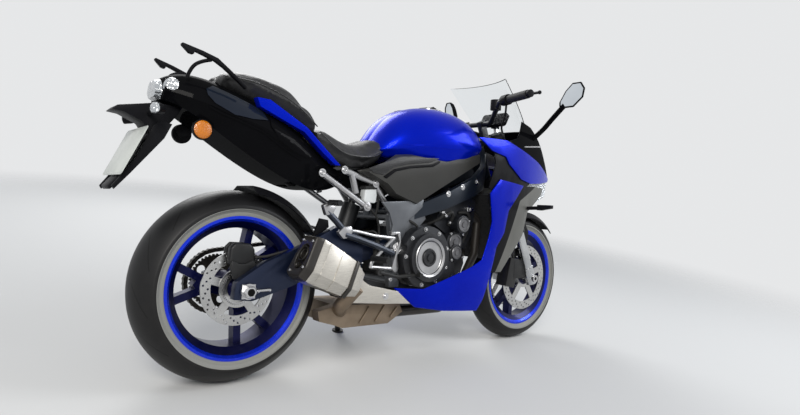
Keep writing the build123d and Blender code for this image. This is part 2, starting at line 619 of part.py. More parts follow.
# Tail: main moulding, seats on it, blue side strips, light and grab rails
tail_rows = [
    (-258, 872, 895, 934, 50, 76),
    (-155, 826, 870, 955, 84, 122),
    (-5, 738, 830, 918, 90, 142),
    (110, 680, 790, 872, 90, 142),
    (250, 640, 720, 780, 80, 124),
    (345, 662, 700, 722, 80, 104),
]
tail = crowned_body(tail_rows)
seat_rows = [
    (228, 790, 840, 858, 100, 130),
    (300, 742, 790, 832, 118, 152),
    (400, 728, 770, 806, 122, 152),
    (490, 750, 786, 838, 100, 126),
    (572, 800, 822, 866, 50, 66),
]
pillion_rows = [
    (-100, 930, 965, 990, 70, 98),
    (-20, 912, 965, 1006, 96, 122),
    (120, 872, 930, 988, 104, 128),
    (190, 840, 890, 938, 100, 124),
    (240, 812, 850, 874, 90, 112),
]
pillion = crowned_body(pillion_rows)
rider = crowned_body(seat_rows)
nodes["rider_seat"] = rider - nodes["fuel_tank"] - pillion - nodes["tank_side_covers"]
nodes["pillion_seat"] = pillion
nodes["tail_cowl"] = tail - pillion - nodes["rider_seat"] - nodes["main_frame"]
strip_outline = [
    (-5, 911), (39, 910), (103, 878), (176, 841), (259, 773), (313, 730), (293, 729), (243, 764),
    (165, 826), (111, 845), (7, 884),
]
strip = side_plate(strip_outline, -116, -146)
strips = both_sides(strip) - tail - pillion
nodes["tail_side_strips"] = strips - nodes["rider_seat"] - nodes["tank_side_covers"]
tail_end = tail_rows[0][0] - SEAT_GAP
lens_rows = [(tail_end - 17, 880, 896, 926, 40, 62), (tail_end, 874, 896, 932, 48, 74)]
nodes["tail_light"] = crowned_body(lens_rows)
rail = bent_bar([(10, -136, 900), (-90, -142, 975), (-150, -138, 1010), (-232, -122, 1034)], (60, 60), 9)
rail += bent_bar([(-110, -141, 986), (-150, -125, 996), (-198, -108, 990), (-206, -96, 940)], (24, 24), 8)
nodes["grab_rails"] = both_sides(rail - tail - pillion - strip)

# Subframe rails, with the brackets of the pillion's pegs on them
RAIL_Y = -124.0
RAIL_RADIUS = 11.0
rails = Part()
for start, end in (
    ((480, 681), (340, 718)), ((446, 594), (250, 700)), ((480, 681), (556, 584)), ((400, 640), (378, 706)),
):
    rails += rod((start[0], RAIL_Y, start[1]), (end[0], RAIL_Y, end[1]), RAIL_RADIUS)
for joint_x, joint_z in ((480, 681), (446, 594)):
    rails += disc(16, RAIL_Y - 12, RAIL_Y + 12, joint_x, joint_z)
rails = rails - nodes["tank_side_covers"] - nodes["tail_cowl"] - nodes["rider_seat"]
nodes["rear_subframe"] = both_sides(rails) - nodes["main_frame"]
pillion_outline = [(236, 700), (250, 590), (276, 566), (300, 590), (264, 612), (274, 700)]
pillion_hanger = side_plate(pillion_outline, -172, -150)
pillion_hanger += side_plate([(276, 566), (300, 572), (358, 644), (336, 664)], -168, -152)
for boss_x, boss_z in ((256, 690), (345, 649)):
    pillion_hanger += disc(10, -153, RAIL_Y - RAIL_RADIUS - SEAT_GAP, boss_x, boss_z)

# Fork: outer tubes in two clamps, bright lower legs, and lugs that hold the axle
CLAMP_LOW = (800.0, 834.0)
CLAMP_TOP = (999.0, 1024.0)
TUBE_LOW, TUBE_TOP = 556.0, 1036.0
LUG_TOP = 372.0


def head_rod(point_from, point_to, radius, bore=0.0):
    """A round bar in the steering head's own frame: forward, left and up its axis."""
    return HEAD * rod(point_from, point_to, radius, bore)


def fork_leg(low, high, radius):
    """One straight stretch of both fork legs, between two heights up the steering axis."""
    return both_sides(head_rod((FORK_OFFSET, -FORK_HALF, low), (FORK_OFFSET, -FORK_HALF, high), radius))


nodes["fork_tubes"] = fork_leg(TUBE_LOW, TUBE_TOP, FORK_OUTER_RADIUS)
axle_hole = disc(FRONT_AXLE_RADIUS + SEAT_GAP, -200, 200, WHEELBASE, FRONT_TYRE_RADIUS)
legs = fork_leg(LUG_TOP - 1, TUBE_LOW - SEAT_GAP, STANCHION_RADIUS)
legs += fork_leg(AXLE_HEIGHT_ON_FORK - 26, LUG_TOP, STANCHION_RADIUS + 4)
nodes["fork_legs"] = legs - axle_hole


def clamp(low, high):
    """A fork clamp with the holes for both tubes."""
    outline = Polyline(
        (-30, -34), (FORK_OFFSET - 30, -FORK_HALF - 22), (FORK_OFFSET + 22, -FORK_HALF - 30),
        (FORK_OFFSET + 30, -FORK_HALF), (34, -30), (34, 30), (FORK_OFFSET + 30, FORK_HALF),
        (FORK_OFFSET + 22, FORK_HALF + 30), (FORK_OFFSET - 30, FORK_HALF + 22), (-30, 34), close=True,
    )
    shape = make_face(outline)
    for side in (-1, 1):
        shape += Pos(FORK_OFFSET, side * FORK_HALF) * Circle(FORK_OUTER_RADIUS + 8)
    for side in (-1, 1):
        shape -= Pos(FORK_OFFSET, side * FORK_HALF) * Circle(FORK_OUTER_RADIUS + SEAT_GAP)
    return HEAD * extrude(Pos(0, 0, low) * shape, amount=high - low)


clamps = clamp(*CLAMP_LOW) + clamp(*CLAMP_TOP)
clamps += head_rod((0, 0, CLAMP_LOW[0]), (0, 0, CLAMP_TOP[1] + 6), 14)
for bearing in (head_low, head_high - 12):
    clamps += head_rod((0, 0, bearing), (0, 0, bearing + 12), HEAD_BORE - RUNNING_GAP)
riser_x, riser_half = 22.0, 48.0
bar_low = 1088.0
for side in (-1, 1):
    clamps += HEAD * (
        Pos(riser_x, side * riser_half, (CLAMP_TOP[1] + bar_low + 14) / 2)
        * Box(34, 22, bar_low + 14 - CLAMP_TOP[1])
    )
bar_points = [
    (-62, -HANDLEBAR_HALF, 1207), (-14, -210, 1184), (riser_x, -100, bar_low), (riser_x, 100, bar_low),
    (-14, 210, 1184), (-62, HANDLEBAR_HALF, 1207),
]
bar = HEAD * bent_bar(bar_points, (40, 40, 40, 40), HANDLEBAR_RADIUS)
clamps -= HEAD * rod((riser_x, -80, bar_low), (riser_x, 80, bar_low), HANDLEBAR_RADIUS + SEAT_GAP)
nodes["fork_clamps"] = clamps
nodes["handlebar"] = bar


def along_bar(share):
    """A point on the right end of the bar, from its tip at 0 to its bend at 1."""
    tip, bend = bar_points[0], bar_points[1]
    return tuple(a + share * (b - a) for a, b in zip(tip, bend))


grip_inner = along_bar(0.02 + GRIP_LENGTH / 196)
grip = head_rod(along_bar(0.02), grip_inner, GRIP_RADIUS, HANDLEBAR_RADIUS + SEAT_GAP)
nodes["grips"] = both_sides(grip)
weight = head_rod(along_bar(-0.07), along_bar(-SEAT_GAP / 100), 15)
control = head_rod(along_bar(0.67), along_bar(0.86), 22, HANDLEBAR_RADIUS + SEAT_GAP)
perch = head_rod((-4, -252, 1190), (40, -248, 1186), 11)
lever = HEAD * bent_bar([(40, -236, 1184), (44, -290, 1188), (10, -398, 1194)], (60,), 5.5)
lever += HEAD * (Pos(10, -398, 1194) * Sphere(8))
master = head_rod((36, -250, 1186), (16, -190, 1172), 11)
reservoir = rod((1070, -170, 1040), (1070, -170, 1082), 23)
control_right = control + (perch + lever - head_rod(along_bar(0.5), along_bar(1.0), 22)) + master + reservoir
control_left = control + (perch + lever - head_rod(along_bar(0.5), along_bar(1.0), 22))
nodes["hand_controls"] = control_right + mirror(control_left, about=Plane.XZ) + both_sides(weight)
nodes["hand_controls"] -= bar

# Front axle, brake calipers and mudguard
lug_outer = FORK_HALF + STANCHION_RADIUS + 4
front_axle = disc(FRONT_AXLE_RADIUS, -lug_outer - 6, lug_outer + 6, WHEELBASE, FRONT_TYRE_RADIUS)
for side in (-1, 1):
    lug_inner = FORK_HALF - STANCHION_RADIUS - 4
    front_axle += disc(17, side * (FRONT_HUB_HALF + 1), side * (lug_inner - 4), WHEELBASE, FRONT_TYRE_RADIUS)
front_axle += disc(17, -lug_outer - 8, -lug_outer - SEAT_GAP, WHEELBASE, FRONT_TYRE_RADIUS)
front_axle -= disc(FRONT_AXLE_BORE, -300, 300, WHEELBASE, FRONT_TYRE_RADIUS)
nodes["front_axle"] = front_axle

caliper_turn = 168.0
caliper_reach = 132.0
caliper_x = WHEELBASE + caliper_reach * cos(radians(caliper_turn))
caliper_z = FRONT_TYRE_RADIUS + caliper_reach * sin(radians(caliper_turn))
front_caliper = Pos(caliper_x, -72, caliper_z) * Rot(0, 12, 0) * Box(62, 62, 132)
front_caliper -= disc(
    FRONT_DISC_RADIUS + MOVING_GAP, -FRONT_DISC_Y - 2.5 - MOVING_GAP, -FRONT_DISC_Y + 2.5 + MOVING_GAP,
    WHEELBASE, FRONT_TYRE_RADIUS,
)
lug = side_plate(
    [(caliper_x + 10, 380), (caliper_x + 10, 300), (WHEELBASE - 30, 300), (WHEELBASE - 56, 392)], -104, -84
)
front_caliper += lug - disc(FRONT_DISC_RADIUS + MOVING_GAP, -77, -55, WHEELBASE, FRONT_TYRE_RADIUS)
nodes["front_calipers"] = both_sides(front_caliper - nodes["fork_legs"])

guard_in = FRONT_TYRE_RADIUS + 12
guard = ring_section(
    [(-72, guard_in - 26), (-46, guard_in), (46, guard_in), (72, guard_in - 26), (75, guard_in - 22),
     (48, guard_in + 4), (-48, guard_in + 4), (-75, guard_in - 22)],
    WHEELBASE, FRONT_TYRE_RADIUS,
)
guard_sector = [(WHEELBASE, FRONT_TYRE_RADIUS)] + [
    (WHEELBASE + 600 * cos(radians(turn)), FRONT_TYRE_RADIUS + 600 * sin(radians(turn)))
    for turn in (48, 90, 125, 158)
]
guard = guard & side_plate(guard_sector, -200, 200)
fork_inside = FORK_HALF - FORK_OUTER_RADIUS
lug_inside = FORK_HALF - STANCHION_RADIUS - 4
disc_face = FRONT_DISC_Y + DISC_THICKNESS / 2
stay_outline = [
    (1322, 548), (1420, 586), (1466, 520), (1452, 400), (1446, 332), (1418, 332), (1404, 400), (1380, 480),
]
guard_stay = side_plate(stay_outline, -fork_inside + SEAT_GAP, -disc_face - MOVING_GAP)
guard_stay += disc(12, -lug_inside + SEAT_GAP, -disc_face - MOVING_GAP, 1433, 346)
nodes["front_mudguard"] = guard + both_sides(guard_stay - disc(10, -200, 0, WHEELBASE, FRONT_TYRE_RADIUS))

# Fairing. All panels are stretches of one curved side wall, each at its own depth in it.
# Rows: height, then the wall's outside at its rear, middle and front, on the right side.
fairing_rows = [
    (150, (500, -130), (1050, -185), (1620, -50)),
    (260, (500, -165), (1050, -218), (1620, -55)),
    (400, (500, -190), (1050, -240), (1620, -60)),
    (580, (500, -195), (1050, -246), (1620, -62)),
    (780, (500, -185), (1050, -244), (1620, -66)),
    (1040, (500, -150), (1050, -200), (1620, -40)),
]


def fairing_panel(outline, depth):
    """One panel of the side wall, on both sides. Depth 0 is the outer layer, 1 the one behind it."""
    shift = depth * (PANEL + SEAT_GAP)
    rows = [
        (height, *[(x, y + shift) for x, y in places]) for height, *places in fairing_rows
    ]
    return both_sides(trimmed_skin(rows, outline, PANEL))


side_outline = [
    (547, 303), (674, 297), (755, 328), (895, 379), (952, 408), (983, 502), (997, 565), (977, 679),
    (1039, 740), (1234, 727), (1171, 666), (1112, 611), (1088, 517), (1038, 457), (1022, 366),
    (1012, 300), (1004, 240), (984, 192), (796, 204), (653, 226),
]
nodes["side_cowls"] = fairing_panel(side_outline, 0)
nose_outline = [
    (898, 898), (1082, 908), (1220, 880), (1399, 843), (1600, 786), (1580, 770), (1440, 752),
    (1305, 741), (1207, 753), (1102, 808), (1076, 837), (980, 852),
]
nodes["nose_cowl"] = fairing_panel(nose_outline, 0)
infill_outline = [
    (1010, 800), (1000, 842), (1090, 850), (1130, 820), (1215, 770), (1310, 758), (1300, 736),
    (1240, 712), (1044, 724), (996, 690), (970, 700),
]
infill = fairing_panel(infill_outline, 1)
inner_outline = [
    (1008, 352), (1098, 352), (1155, 416), (1257, 509), (1298, 614), (1362, 646), (1487, 706), (1500, 735),
    (1386, 732), (1318, 730), (1222, 722), (1160, 672), (1100, 620), (1076, 522), (1026, 462),
]
nodes["cowl_inner_panels"] = fairing_panel(inner_outline, 1) + infill
cockpit_outline = [
    (1100, 906), (1182, 932), (1244, 1015), (1330, 1001), (1411, 949), (1500, 868), (1600, 792), (1590, 780),
    (1399, 828), (1220, 866),
]
nodes["cockpit_panels"] = fairing_panel(cockpit_outline, 1)

# Headlight under the beak, on a stay from the steering head, and the instrument panel
# Beak rows: x, half width, height at the sides and in the middle
beak_rows = [(1340, 147, 984, 992), (1411, 129, 938, 955), (1500, 106, 862, 884), (1604, 70, 782, 800)]
sections = []
for x, half, side_z, top_z in beak_rows:
    above = ThreePointArc((-half, side_z), (0, top_z), (half, side_z))
    below = ThreePointArc((-half, side_z - PANEL), (0, top_z - PANEL), (half, side_z - PANEL))
    ends = Line((-half, side_z), (-half, side_z - PANEL)) + Line((half, side_z), (half, side_z - PANEL))
    plane = Plane(origin=(x, 0, 0), x_dir=(0, 1, 0), z_dir=(1, 0, 0))
    sections.append(plane * make_face(above + below + ends))
beak = loft(sections)
stay = side_plate([(1196, 880), (1206, 818), (1300, 818), (1440, 740), (1440, 786), (1320, 856)], -14, 14)
stay_top = 1000.0
stay += side_plate([(1290, 850), (1310, 850), (1286, stay_top), (1268, stay_top)], -8, 8)
stay = stay - nodes["main_frame"]
nodes["rear_subframe"] += stay
lamp = side_plate([(1440, 700), (1540, 668), (1600, 700), (1608, 764), (1600, 778), (1440, 778)], -60, 60)
nodes["headlight"] = lamp - stay - nodes["nose_cowl"] - nodes["cockpit_panels"]
nodes["cockpit_panels"] += beak - nodes["nose_cowl"]
dash_plane = Plane(origin=(1270, 0, 1034), x_dir=(0, 1, 0), z_dir=(-0.9, 0, 0.436))
dash = extrude(dash_plane * RectangleRounded(150, 64, 14), amount=20)
dash += block((1252, 1286), (-12, 12), (stay_top + SEAT_GAP, stay_top + 20))
nodes["instrument_panel"] = dash

# Windscreen. Rows: height, then the outside at the right edge, the middle and the left edge.
screen_rows = [
    (893, 1455, 56, 1489), (1000, 1322, 138, 1392), (1090, 1228, 160, 1288), (1185, 1128, 168, 1172),
]
sections = []
for height, edge_x, half, middle_x in screen_rows:
    outside = ThreePointArc((edge_x, -half), (middle_x, 0), (edge_x, half))
    inside = ThreePointArc((edge_x - 6, -half), (middle_x - 6, 0), (edge_x - 6, half))
    ends = Line((edge_x, -half), (edge_x - 6, -half)) + Line((edge_x, half), (edge_x - 6, half))
    sections.append(Pos(0, 0, height) * make_face(outside + inside + ends))
screen = (loft(sections) - nodes["cockpit_panels"]).solids().sort_by(SortBy.VOLUME)[-1]
nodes["windscreen"] = screen

# Mirrors: arms from the cockpit panels, housings and their glass
MIRROR = (1324.0, -369.0, 1134.0)
mirror_plane = Plane(origin=MIRROR, x_dir=(0.26, -0.966, 0), z_dir=(-0.966, -0.26, 0))
mirror_outline = [(-61, -44), (-23, -57), (60, -26), (62, 26), (35, 56), (-11, 63), (-60, 20)]
mirror_face = make_face(Polyline(*mirror_outline, close=True))
housing = extrude(mirror_plane * mirror_face, amount=-26, taper=16)
glass = extrude(mirror_plane * offset(mirror_face, -5), amount=2)
mirror_arm = bent_bar([(1296, -160, 962), (1318, -250, 1010), (1332, -330, 1086)], (60,), 9)
mirror_arm = mirror_arm - housing - nodes["cockpit_panels"]
mirror_arm = mirror_arm.solids().sort_by(SortBy.VOLUME)[-1]
nodes["mirrors"] = both_sides(housing + mirror_arm)
nodes["mirror_glass"] = both_sides(Pos(-SEAT_GAP, 0, 0) * glass)

# Front indicators on their stalks
stalk = rod((1290, -150, 628), (1296, -262, 634), 8)
signal = stalk + loft([
    Plane(origin=(1298, -258, 635), x_dir=(1, 0, 0), z_dir=(0, -1, 0)) * Rectangle(40, 24),
    Plane(origin=(1290, -326, 640), x_dir=(1, 0, 0), z_dir=(0, -1, 0)) * Rectangle(22, 14),
])
signal = (signal - nodes["cowl_inner_panels"]).solids().sort_by(SortBy.VOLUME)[-1]
nodes["front_signals"] = both_sides(signal)

# Pins and bars that carry the fairing on the engine, the radiator and the stay
carriers = rod((935, -ENGINE_HALF + 28 - SEAT_GAP, 330), (935, -260, 330), 9)
carriers += rod((1074, -175 - SEAT_GAP, 620), (1074, -260, 620), 8)
carriers = (carriers - nodes["side_cowls"]).solids().sort_by(Axis.Y)[-2:]
bars = rod((1330, -260, 826), (1330, 260, 826), 8) - nodes["nose_cowl"] - nodes["headlight"]
bars = bars.solids().sort_by(SortBy.VOLUME)[-1]
nodes["rear_subframe"] += both_sides(Part() + carriers) + bars

nodes["exhaust_chamber"] += pipes - nodes["engine_block"] - exhaust

# Brake hoses. Down from the front master cylinder to a splitter on the lower clamp, and on to both
# calipers.
HOSE_RADIUS = 4.5
splitter_low, splitter_high = 806.0, 830.0
splitter_f = FORK_OFFSET + FORK_OUTER_RADIUS + 8 + SEAT_GAP
hose_f = splitter_f + 10
hose_y = FORK_HALF + 41
hose_end = 450.0


def head_hose(points, radii):
    """A hose through points in the steering head's own frame."""
    return HEAD * bent_bar(points, radii, HOSE_RADIUS)


hoses = HEAD * (
    Pos(splitter_f + 10, -FORK_HALF, (splitter_low + splitter_high) / 2)
    * Box(20, 20, splitter_high - splitter_low)
)
hoses += head_hose(
    [(30, -206, 1174), (42, -196, 1160), (60, -160, 1105), (hose_f, -FORK_HALF, 1050),
     (hose_f, -FORK_HALF, splitter_high - 2)],
    (9, 30, 24),
)
hoses += head_hose(
    [(hose_f, -FORK_HALF, splitter_low + 2), (hose_f, -FORK_HALF, 778), (78, -138, 744), (36, -hose_y, 690),
     (36, -hose_y, 620), (-20, -120, 530), (-30, -92, 490), (-30, -92, hose_end)],
    (18, 18, 30, 40, 40, 25),
)
hoses += head_hose(
    [(hose_f, -FORK_HALF + 8, 812), (hose_f + 4, -60, 800), (hose_f + 4, 60, 790), (hose_f, 112, 778),
     (76, 140, 744), (36, hose_y, 690), (36, hose_y, 620), (-20, 120, 530), (-30, 92, 490),
     (-30, 92, hose_end)],
    (20, 30, 20, 18, 30, 40, 40, 25),
)
nodes["front_brake_hoses"] = hoses - nodes["fork_clamps"] - nodes["front_calipers"] - nodes["hand_controls"]

# The rear hose, from its master cylinder on the hanger along the inside of the swingarm
MASTER_RADIUS = 11.0
MASTER_Y = -HANGER_INNER + SEAT_GAP + MASTER_RADIUS
rear_hose = rod((486, MASTER_Y, 398), (486, MASTER_Y, 470), MASTER_RADIUS)
rear_hose += bent_bar(
    [(486, MASTER_Y, 468), (486, MASTER_Y, 508), (455, -104, 500), (300, -103, 456), (150, -103, 432),
     (80, -100, 414), (42, -93, 410)],
    (18, 30, 60, 60, 40), HOSE_RADIUS,
)
nodes["rear_brake_hose"] = rear_hose

# Plate holder under the tail, with the blank plate, rear indicators and side reflectors
holder_outline = [
    (-196, 858), (-250, 880), (-300, 812), (-376, 640), (-392, 606), (-382, 600), (-352, 640), (-270, 780),
]
holder = side_plate(holder_outline, -42, 42)
plate_plane = Plane(origin=(-346, 0, 718), x_dir=(0, 1, 0), z_dir=(-0.911, 0, 0.412))
backing = extrude(plate_plane * Pos(0, 0, -6) * Rectangle(PLATE_WIDTH - 14, PLATE_HEIGHT - 10), amount=4)
plate_face = RectangleRounded(PLATE_WIDTH, PLATE_HEIGHT, 10)
plate = extrude(plate_plane * Pos(0, 0, SEAT_GAP - 2) * plate_face, amount=2)
nodes["number_plate"] = plate
nodes["plate_holder"] = holder + backing - nodes["tail_cowl"] - plate
rear_signal = rod((-292, -30, 822), (-306, -150, 846), 8)
rear_signal += loft([
    Plane(origin=(-306, -146, 846), x_dir=(1, 0, 0), z_dir=(0, -1, 0)) * Rectangle(44, 26),
    Plane(origin=(-310, -206, 852), x_dir=(1, 0, 0), z_dir=(0, -1, 0)) * Rectangle(28, 18),
])
rear_signal = (rear_signal - nodes["plate_holder"]).solids().sort_by(SortBy.VOLUME)[-1]
reflector = disc(31, -84, -100, -150, 812)
nodes["rear_signals"] = both_sides(rear_signal) + both_sides(reflector - nodes["tail_cowl"])

# Rider's footrest hangers with pegs and pedals
hanger = side_plate(
    [(318, 500), (350, 520), (470, 505), (556, 500), (566, 474), (530, 440), (505, 400), (546, 392),
     (566, 372), (556, 347), (470, 352), (430, 430), (330, 480)], -HANGER_OUTER, -HANGER_INNER,
)
for x, z in ((566, 478), (562, 366)):
    hanger += disc(12, -HANGER_INNER, -FRAME_OUTER - SEAT_GAP, x, z)
nodes["footrest_hangers"] = both_sides(hanger - nodes["rear_axle"] + pillion_hanger)
pegs = rod((452, -HANGER_OUTER - SEAT_GAP, 412), (452, -268, 412), 11)
pegs += rod((262, -172 - SEAT_GAP, 600), (262, -236, 600), 10)
pegs += bent_bar([(480, -HANGER_OUTER - 9, 362), (560, -190, 344), (640, -204, 352)], (60,), 7)
pegs += rod((640, -190, 352), (640, -232, 352), 8)
pegs += disc(12, -HANGER_OUTER - SEAT_GAP, -190, 480, 362)
nodes["footpegs_pedals"] = both_sides(pegs - nodes["engine_covers"] - nodes["side_cowls"])

# Ground under the parked machine, as seen from the upright layout
lean = radians(LEAN)
GROUND = Plane(origin=(0, 0, 0), x_dir=(1, 0, 0), z_dir=(0, -sin(lean), cos(lean)))

# Side stand: a tilted pivot on the frame, a leg, and a foot flat on the ground
foot = GROUND * (Pos(STAND_FOOT_X, STAND_FOOT_Y, 4) * Cylinder(STAND_FOOT_RADIUS, 8))
foot_top = (GROUND * Pos(STAND_FOOT_X, STAND_FOOT_Y, 8)).position
pivot = Vector(*STAND_PIVOT)
leg_way = (foot_top - pivot).normalized()
folded_way = Vector(*STAND_FOLDED).normalized()
stand_axis = leg_way.cross(folded_way).normalized()
stand_fold = degrees(acos(leg_way.dot(folded_way)))
PIVOT = Plane(origin=pivot, x_dir=leg_way, z_dir=stand_axis)
eye = PIVOT * (Cylinder(18, 14) + Pos(22, 0, 0) * Box(44, 2 * STAND_LEG_RADIUS, 14))
eye -= PIVOT * Cylinder(8 + RUNNING_GAP, 20)
leg = rod(pivot + leg_way * 32, foot_top, STAND_LEG_RADIUS)
nodes["side_stand"] = eye + leg + foot
bolt = PIVOT * Cylinder(8, 34) + PIVOT * (Pos(0, 0, 13) * Cylinder(14, 8))
lug_block = PIVOT * (Pos(0, 0, -25) * Cylinder(22, 34))
bracket = side_plate([(500, 216), (556, 226), (594, 310), (594, 360), (552, 360)], 127, 149)
nodes["stand_bracket"] = bolt + lug_block + (bracket - PIVOT * Cylinder(24, 24))
nodes["stand_bracket"] -= nodes["main_frame"] + nodes["engine_block"]

# The machine leans onto its stand, and its origin moves to the middle of its box on the ground
rest = GROUND.location.inverse()
print(len(nodes), "nodes", sorted(nodes))
leaned = {name: rest * shape for name, shape in nodes.items()}
box = Compound(children=[Compound(shape.wrapped) for shape in leaned.values()]).bounding_box()
to_origin = Pos(-(box.min.X + box.max.X) / 2, -(box.min.Y + box.max.Y) / 2, -box.min.Z)
os.makedirs("parts", exist_ok=True)
for name, shape in leaned.items():
    export_step(to_origin * shape, os.path.join("parts", name + ".step"))

whole = to_origin * rest
for title, place, way in (
    ("steering", HEAD.origin, HEAD.z_dir),
    ("front wheel", Vector(WHEELBASE, 0, FRONT_TYRE_RADIUS), Vector(0, 1, 0)),
    ("rear wheel", Vector(0, 0, REAR_TYRE_RADIUS), Vector(0, 1, 0)), ("side stand", pivot, stand_axis),
    ("fuel cap", Vector(CAP_HINGE_X, 0, CAP_HINGE_Z), Vector(0, 1, 0)),
):
    start = (whole * Pos(*place)).position
    end = (whole * Pos(*(place + way))).position
    way = tuple(round(v, 6) for v in (end - start))
    print(title, "axis at", tuple(round(v, 3) for v in start), "along", way)
print("stand folds", round(stand_fold, 2), "degrees; box", box.size, "solids", len(nodes))
print("move", (to_origin.position), "rest", rest)
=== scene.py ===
import json
import math
from contextlib import contextmanager

import bpy
from mathutils import Matrix, Vector


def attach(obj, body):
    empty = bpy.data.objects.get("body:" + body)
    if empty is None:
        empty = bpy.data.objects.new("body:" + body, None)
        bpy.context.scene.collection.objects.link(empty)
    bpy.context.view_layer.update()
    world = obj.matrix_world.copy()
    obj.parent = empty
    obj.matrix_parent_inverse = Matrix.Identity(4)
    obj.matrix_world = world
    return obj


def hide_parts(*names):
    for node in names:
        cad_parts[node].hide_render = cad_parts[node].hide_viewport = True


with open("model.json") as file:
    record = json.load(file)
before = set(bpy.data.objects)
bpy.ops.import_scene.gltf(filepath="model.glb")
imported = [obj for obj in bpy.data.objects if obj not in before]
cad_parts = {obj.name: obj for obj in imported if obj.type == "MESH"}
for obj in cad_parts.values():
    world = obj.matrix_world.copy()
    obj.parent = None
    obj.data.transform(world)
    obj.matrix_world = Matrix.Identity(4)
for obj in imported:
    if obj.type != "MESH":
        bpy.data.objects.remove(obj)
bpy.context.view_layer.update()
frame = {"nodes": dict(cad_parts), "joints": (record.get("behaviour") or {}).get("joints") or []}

# The machine's stance. It is drawn upright in metres, X forward from the rear axle, Y to its left and Z up from
# the ground, and each finished piece is leaned onto the side stand with the rear axle where the frame has it.
REAR_AXLE = Vector((0, 0, 0.311))
FRONT_AXLE = Vector((1.46, 0, 0.3))

rear_spin = next(joint for joint in frame["joints"] if joint["name"] == "rear_wheel_spin")
axle_way = Vector(rear_spin["axis"])
lean = math.atan2(axle_way.z, axle_way.y)
tilt = Matrix.Rotation(lean, 4, "X")
STANDING = Matrix.Translation(Vector(rear_spin["pos_m"]) - tilt @ REAR_AXLE) @ tilt
TO_UPRIGHT = STANDING.inverted()

# The camera stands behind the machine's right side, at about chest height, and is turned a little about its own
# axis, as the photograph was taken. Its focal length is the one that fits both wheels.
CAMERA_PLACE = Vector((-1.435, -1.815, 0.81))
CAMERA_YAW = math.radians(50.03)
CAMERA_PITCH = math.radians(-5.41)
CAMERA_ROLL = math.radians(8.1)
CAMERA_LENS = 25.09
SENSOR_WIDTH = 36.0
NEAREST_SEEN = 0.02

ahead = Vector((
    math.cos(CAMERA_PITCH) * math.cos(CAMERA_YAW),
    math.cos(CAMERA_PITCH) * math.sin(CAMERA_YAW),
    math.sin(CAMERA_PITCH),
))
level_right = ahead.cross(Vector((0, 0, 1))).normalized()
level_up = level_right.cross(ahead)
right = level_right * math.cos(CAMERA_ROLL) + level_up * math.sin(CAMERA_ROLL)
up = level_up * math.cos(CAMERA_ROLL) - level_right * math.sin(CAMERA_ROLL)
bpy.ops.object.select_all(action="DESELECT")
bpy.ops.object.camera_add(location=CAMERA_PLACE)
camera = bpy.context.object
camera.rotation_mode = "QUATERNION"
camera.rotation_quaternion = Matrix((right, up, -ahead)).transposed().to_quaternion()
camera.data.lens = CAMERA_LENS
camera.data.sensor_width = SENSOR_WIDTH
camera.data.clip_start = NEAREST_SEEN
bpy.context.scene.camera = camera

# The ground and the light. A pale floor runs out to a pale backdrop, and three large soft lamps and a pale sky
# light the parked machine evenly, as in a studio.
FLOOR_COLOUR = (0.56, 0.56, 0.555, 1)
FLOOR_PLACE = (0.4, 0.6, 0)
FLOOR_RADIUS = 9
FLOOR_RIM = 3.0
FADE_PLACE = (-0.04, -0.12, 0)
FADE_SCALE = (0.14, 0.14, 0.14)
FADE_ENDS = (0.3, 0.7)
BACKDROP = (0.9, 0.91, 0.92, 1)
BACKDROP_LIGHT = 0.88
SKY = (0.86, 0.92, 1.0, 1)
SKY_LIGHT = 0.48
LAMPS_AIM = Vector((0, 0, 0.5))
LAMPS = [
    # name, place, size, power, colour
    ("sun side lamp", (-3.2, -3.6, 3.4), 2.2, 215, (1.0, 0.97, 0.92)),
    ("front lamp", (3.4, -2.4, 3.0), 2.0, 110, (0.95, 0.97, 1.0)),
    ("far side lamp", (0.4, 3.8, 3.2), 2.6, 120, (1.0, 1.0, 1.0)),
]


def new_material(name):
    """A new material, with its node tree and its Principled BSDF."""
    material = bpy.data.materials.new(name)
    material.use_nodes = True
    tree = material.node_tree
    return material, tree, tree.nodes["Principled BSDF"]


def deselected():
    """Let go of everything before a new piece is started."""
    if bpy.context.object and bpy.context.object.mode != "OBJECT":
        bpy.ops.object.mode_set(mode="OBJECT")
    bpy.ops.object.select_all(action="DESELECT")


def take_up(*pieces):
    """Make these pieces the only ones selected, the first of them active."""
    deselected()
    for piece in pieces:
        piece.select_set(True)
    bpy.context.view_layer.objects.active = pieces[0]


@contextmanager
def editing(piece):
    """Edit mode on one piece, with all of it selected."""
    take_up(piece)
    bpy.ops.object.mode_set(mode="EDIT")
    bpy.ops.mesh.select_all(action="SELECT")
    yield
    bpy.ops.object.mode_set(mode="OBJECT")


def fed(tree, socket, value):
    """Give a socket a value, or a link from another socket."""
    if isinstance(value, bpy.types.NodeSocket):
        tree.links.new(value, socket)
    else:
        socket.default_value = value


def noded(tree, kind, **inputs):
    """A new node, whose named inputs are fed."""
    node = tree.nodes.new("ShaderNode" + kind)
    for socket, value in inputs.items():
        fed(tree, node.inputs[socket], value)
    return node


def faded(tree, factor, first, second):
    """The result of mixing two shaders."""
    node = noded(tree, "MixShader", Fac=factor)
    fed(tree, node.inputs[1], first)
    fed(tree, node.inputs[2], second)
    return node.outputs["Shader"]


def mapped(tree, location=(0, 0, 0), rotation=(0, 0, 0), scale=(1, 1, 1)):
    """Object coordinates, scaled, turned and moved."""
    place = noded(tree, "TexCoord").outputs["Object"]
    mapping = noded(tree, "Mapping", Vector=place, Location=location, Rotation=rotation, Scale=scale)
    return mapping.outputs["Vector"]


def figured(tree, operation, first, second=0.0, third=0.0, clamp=False):
    """The result of a Math node."""
    node = noded(tree, "Math")
    node.operation = operation
    node.use_clamp = clamp
    for socket, value in zip(node.inputs, (first, second, third)):
        fed(tree, socket, value)
    return node.outputs[0]


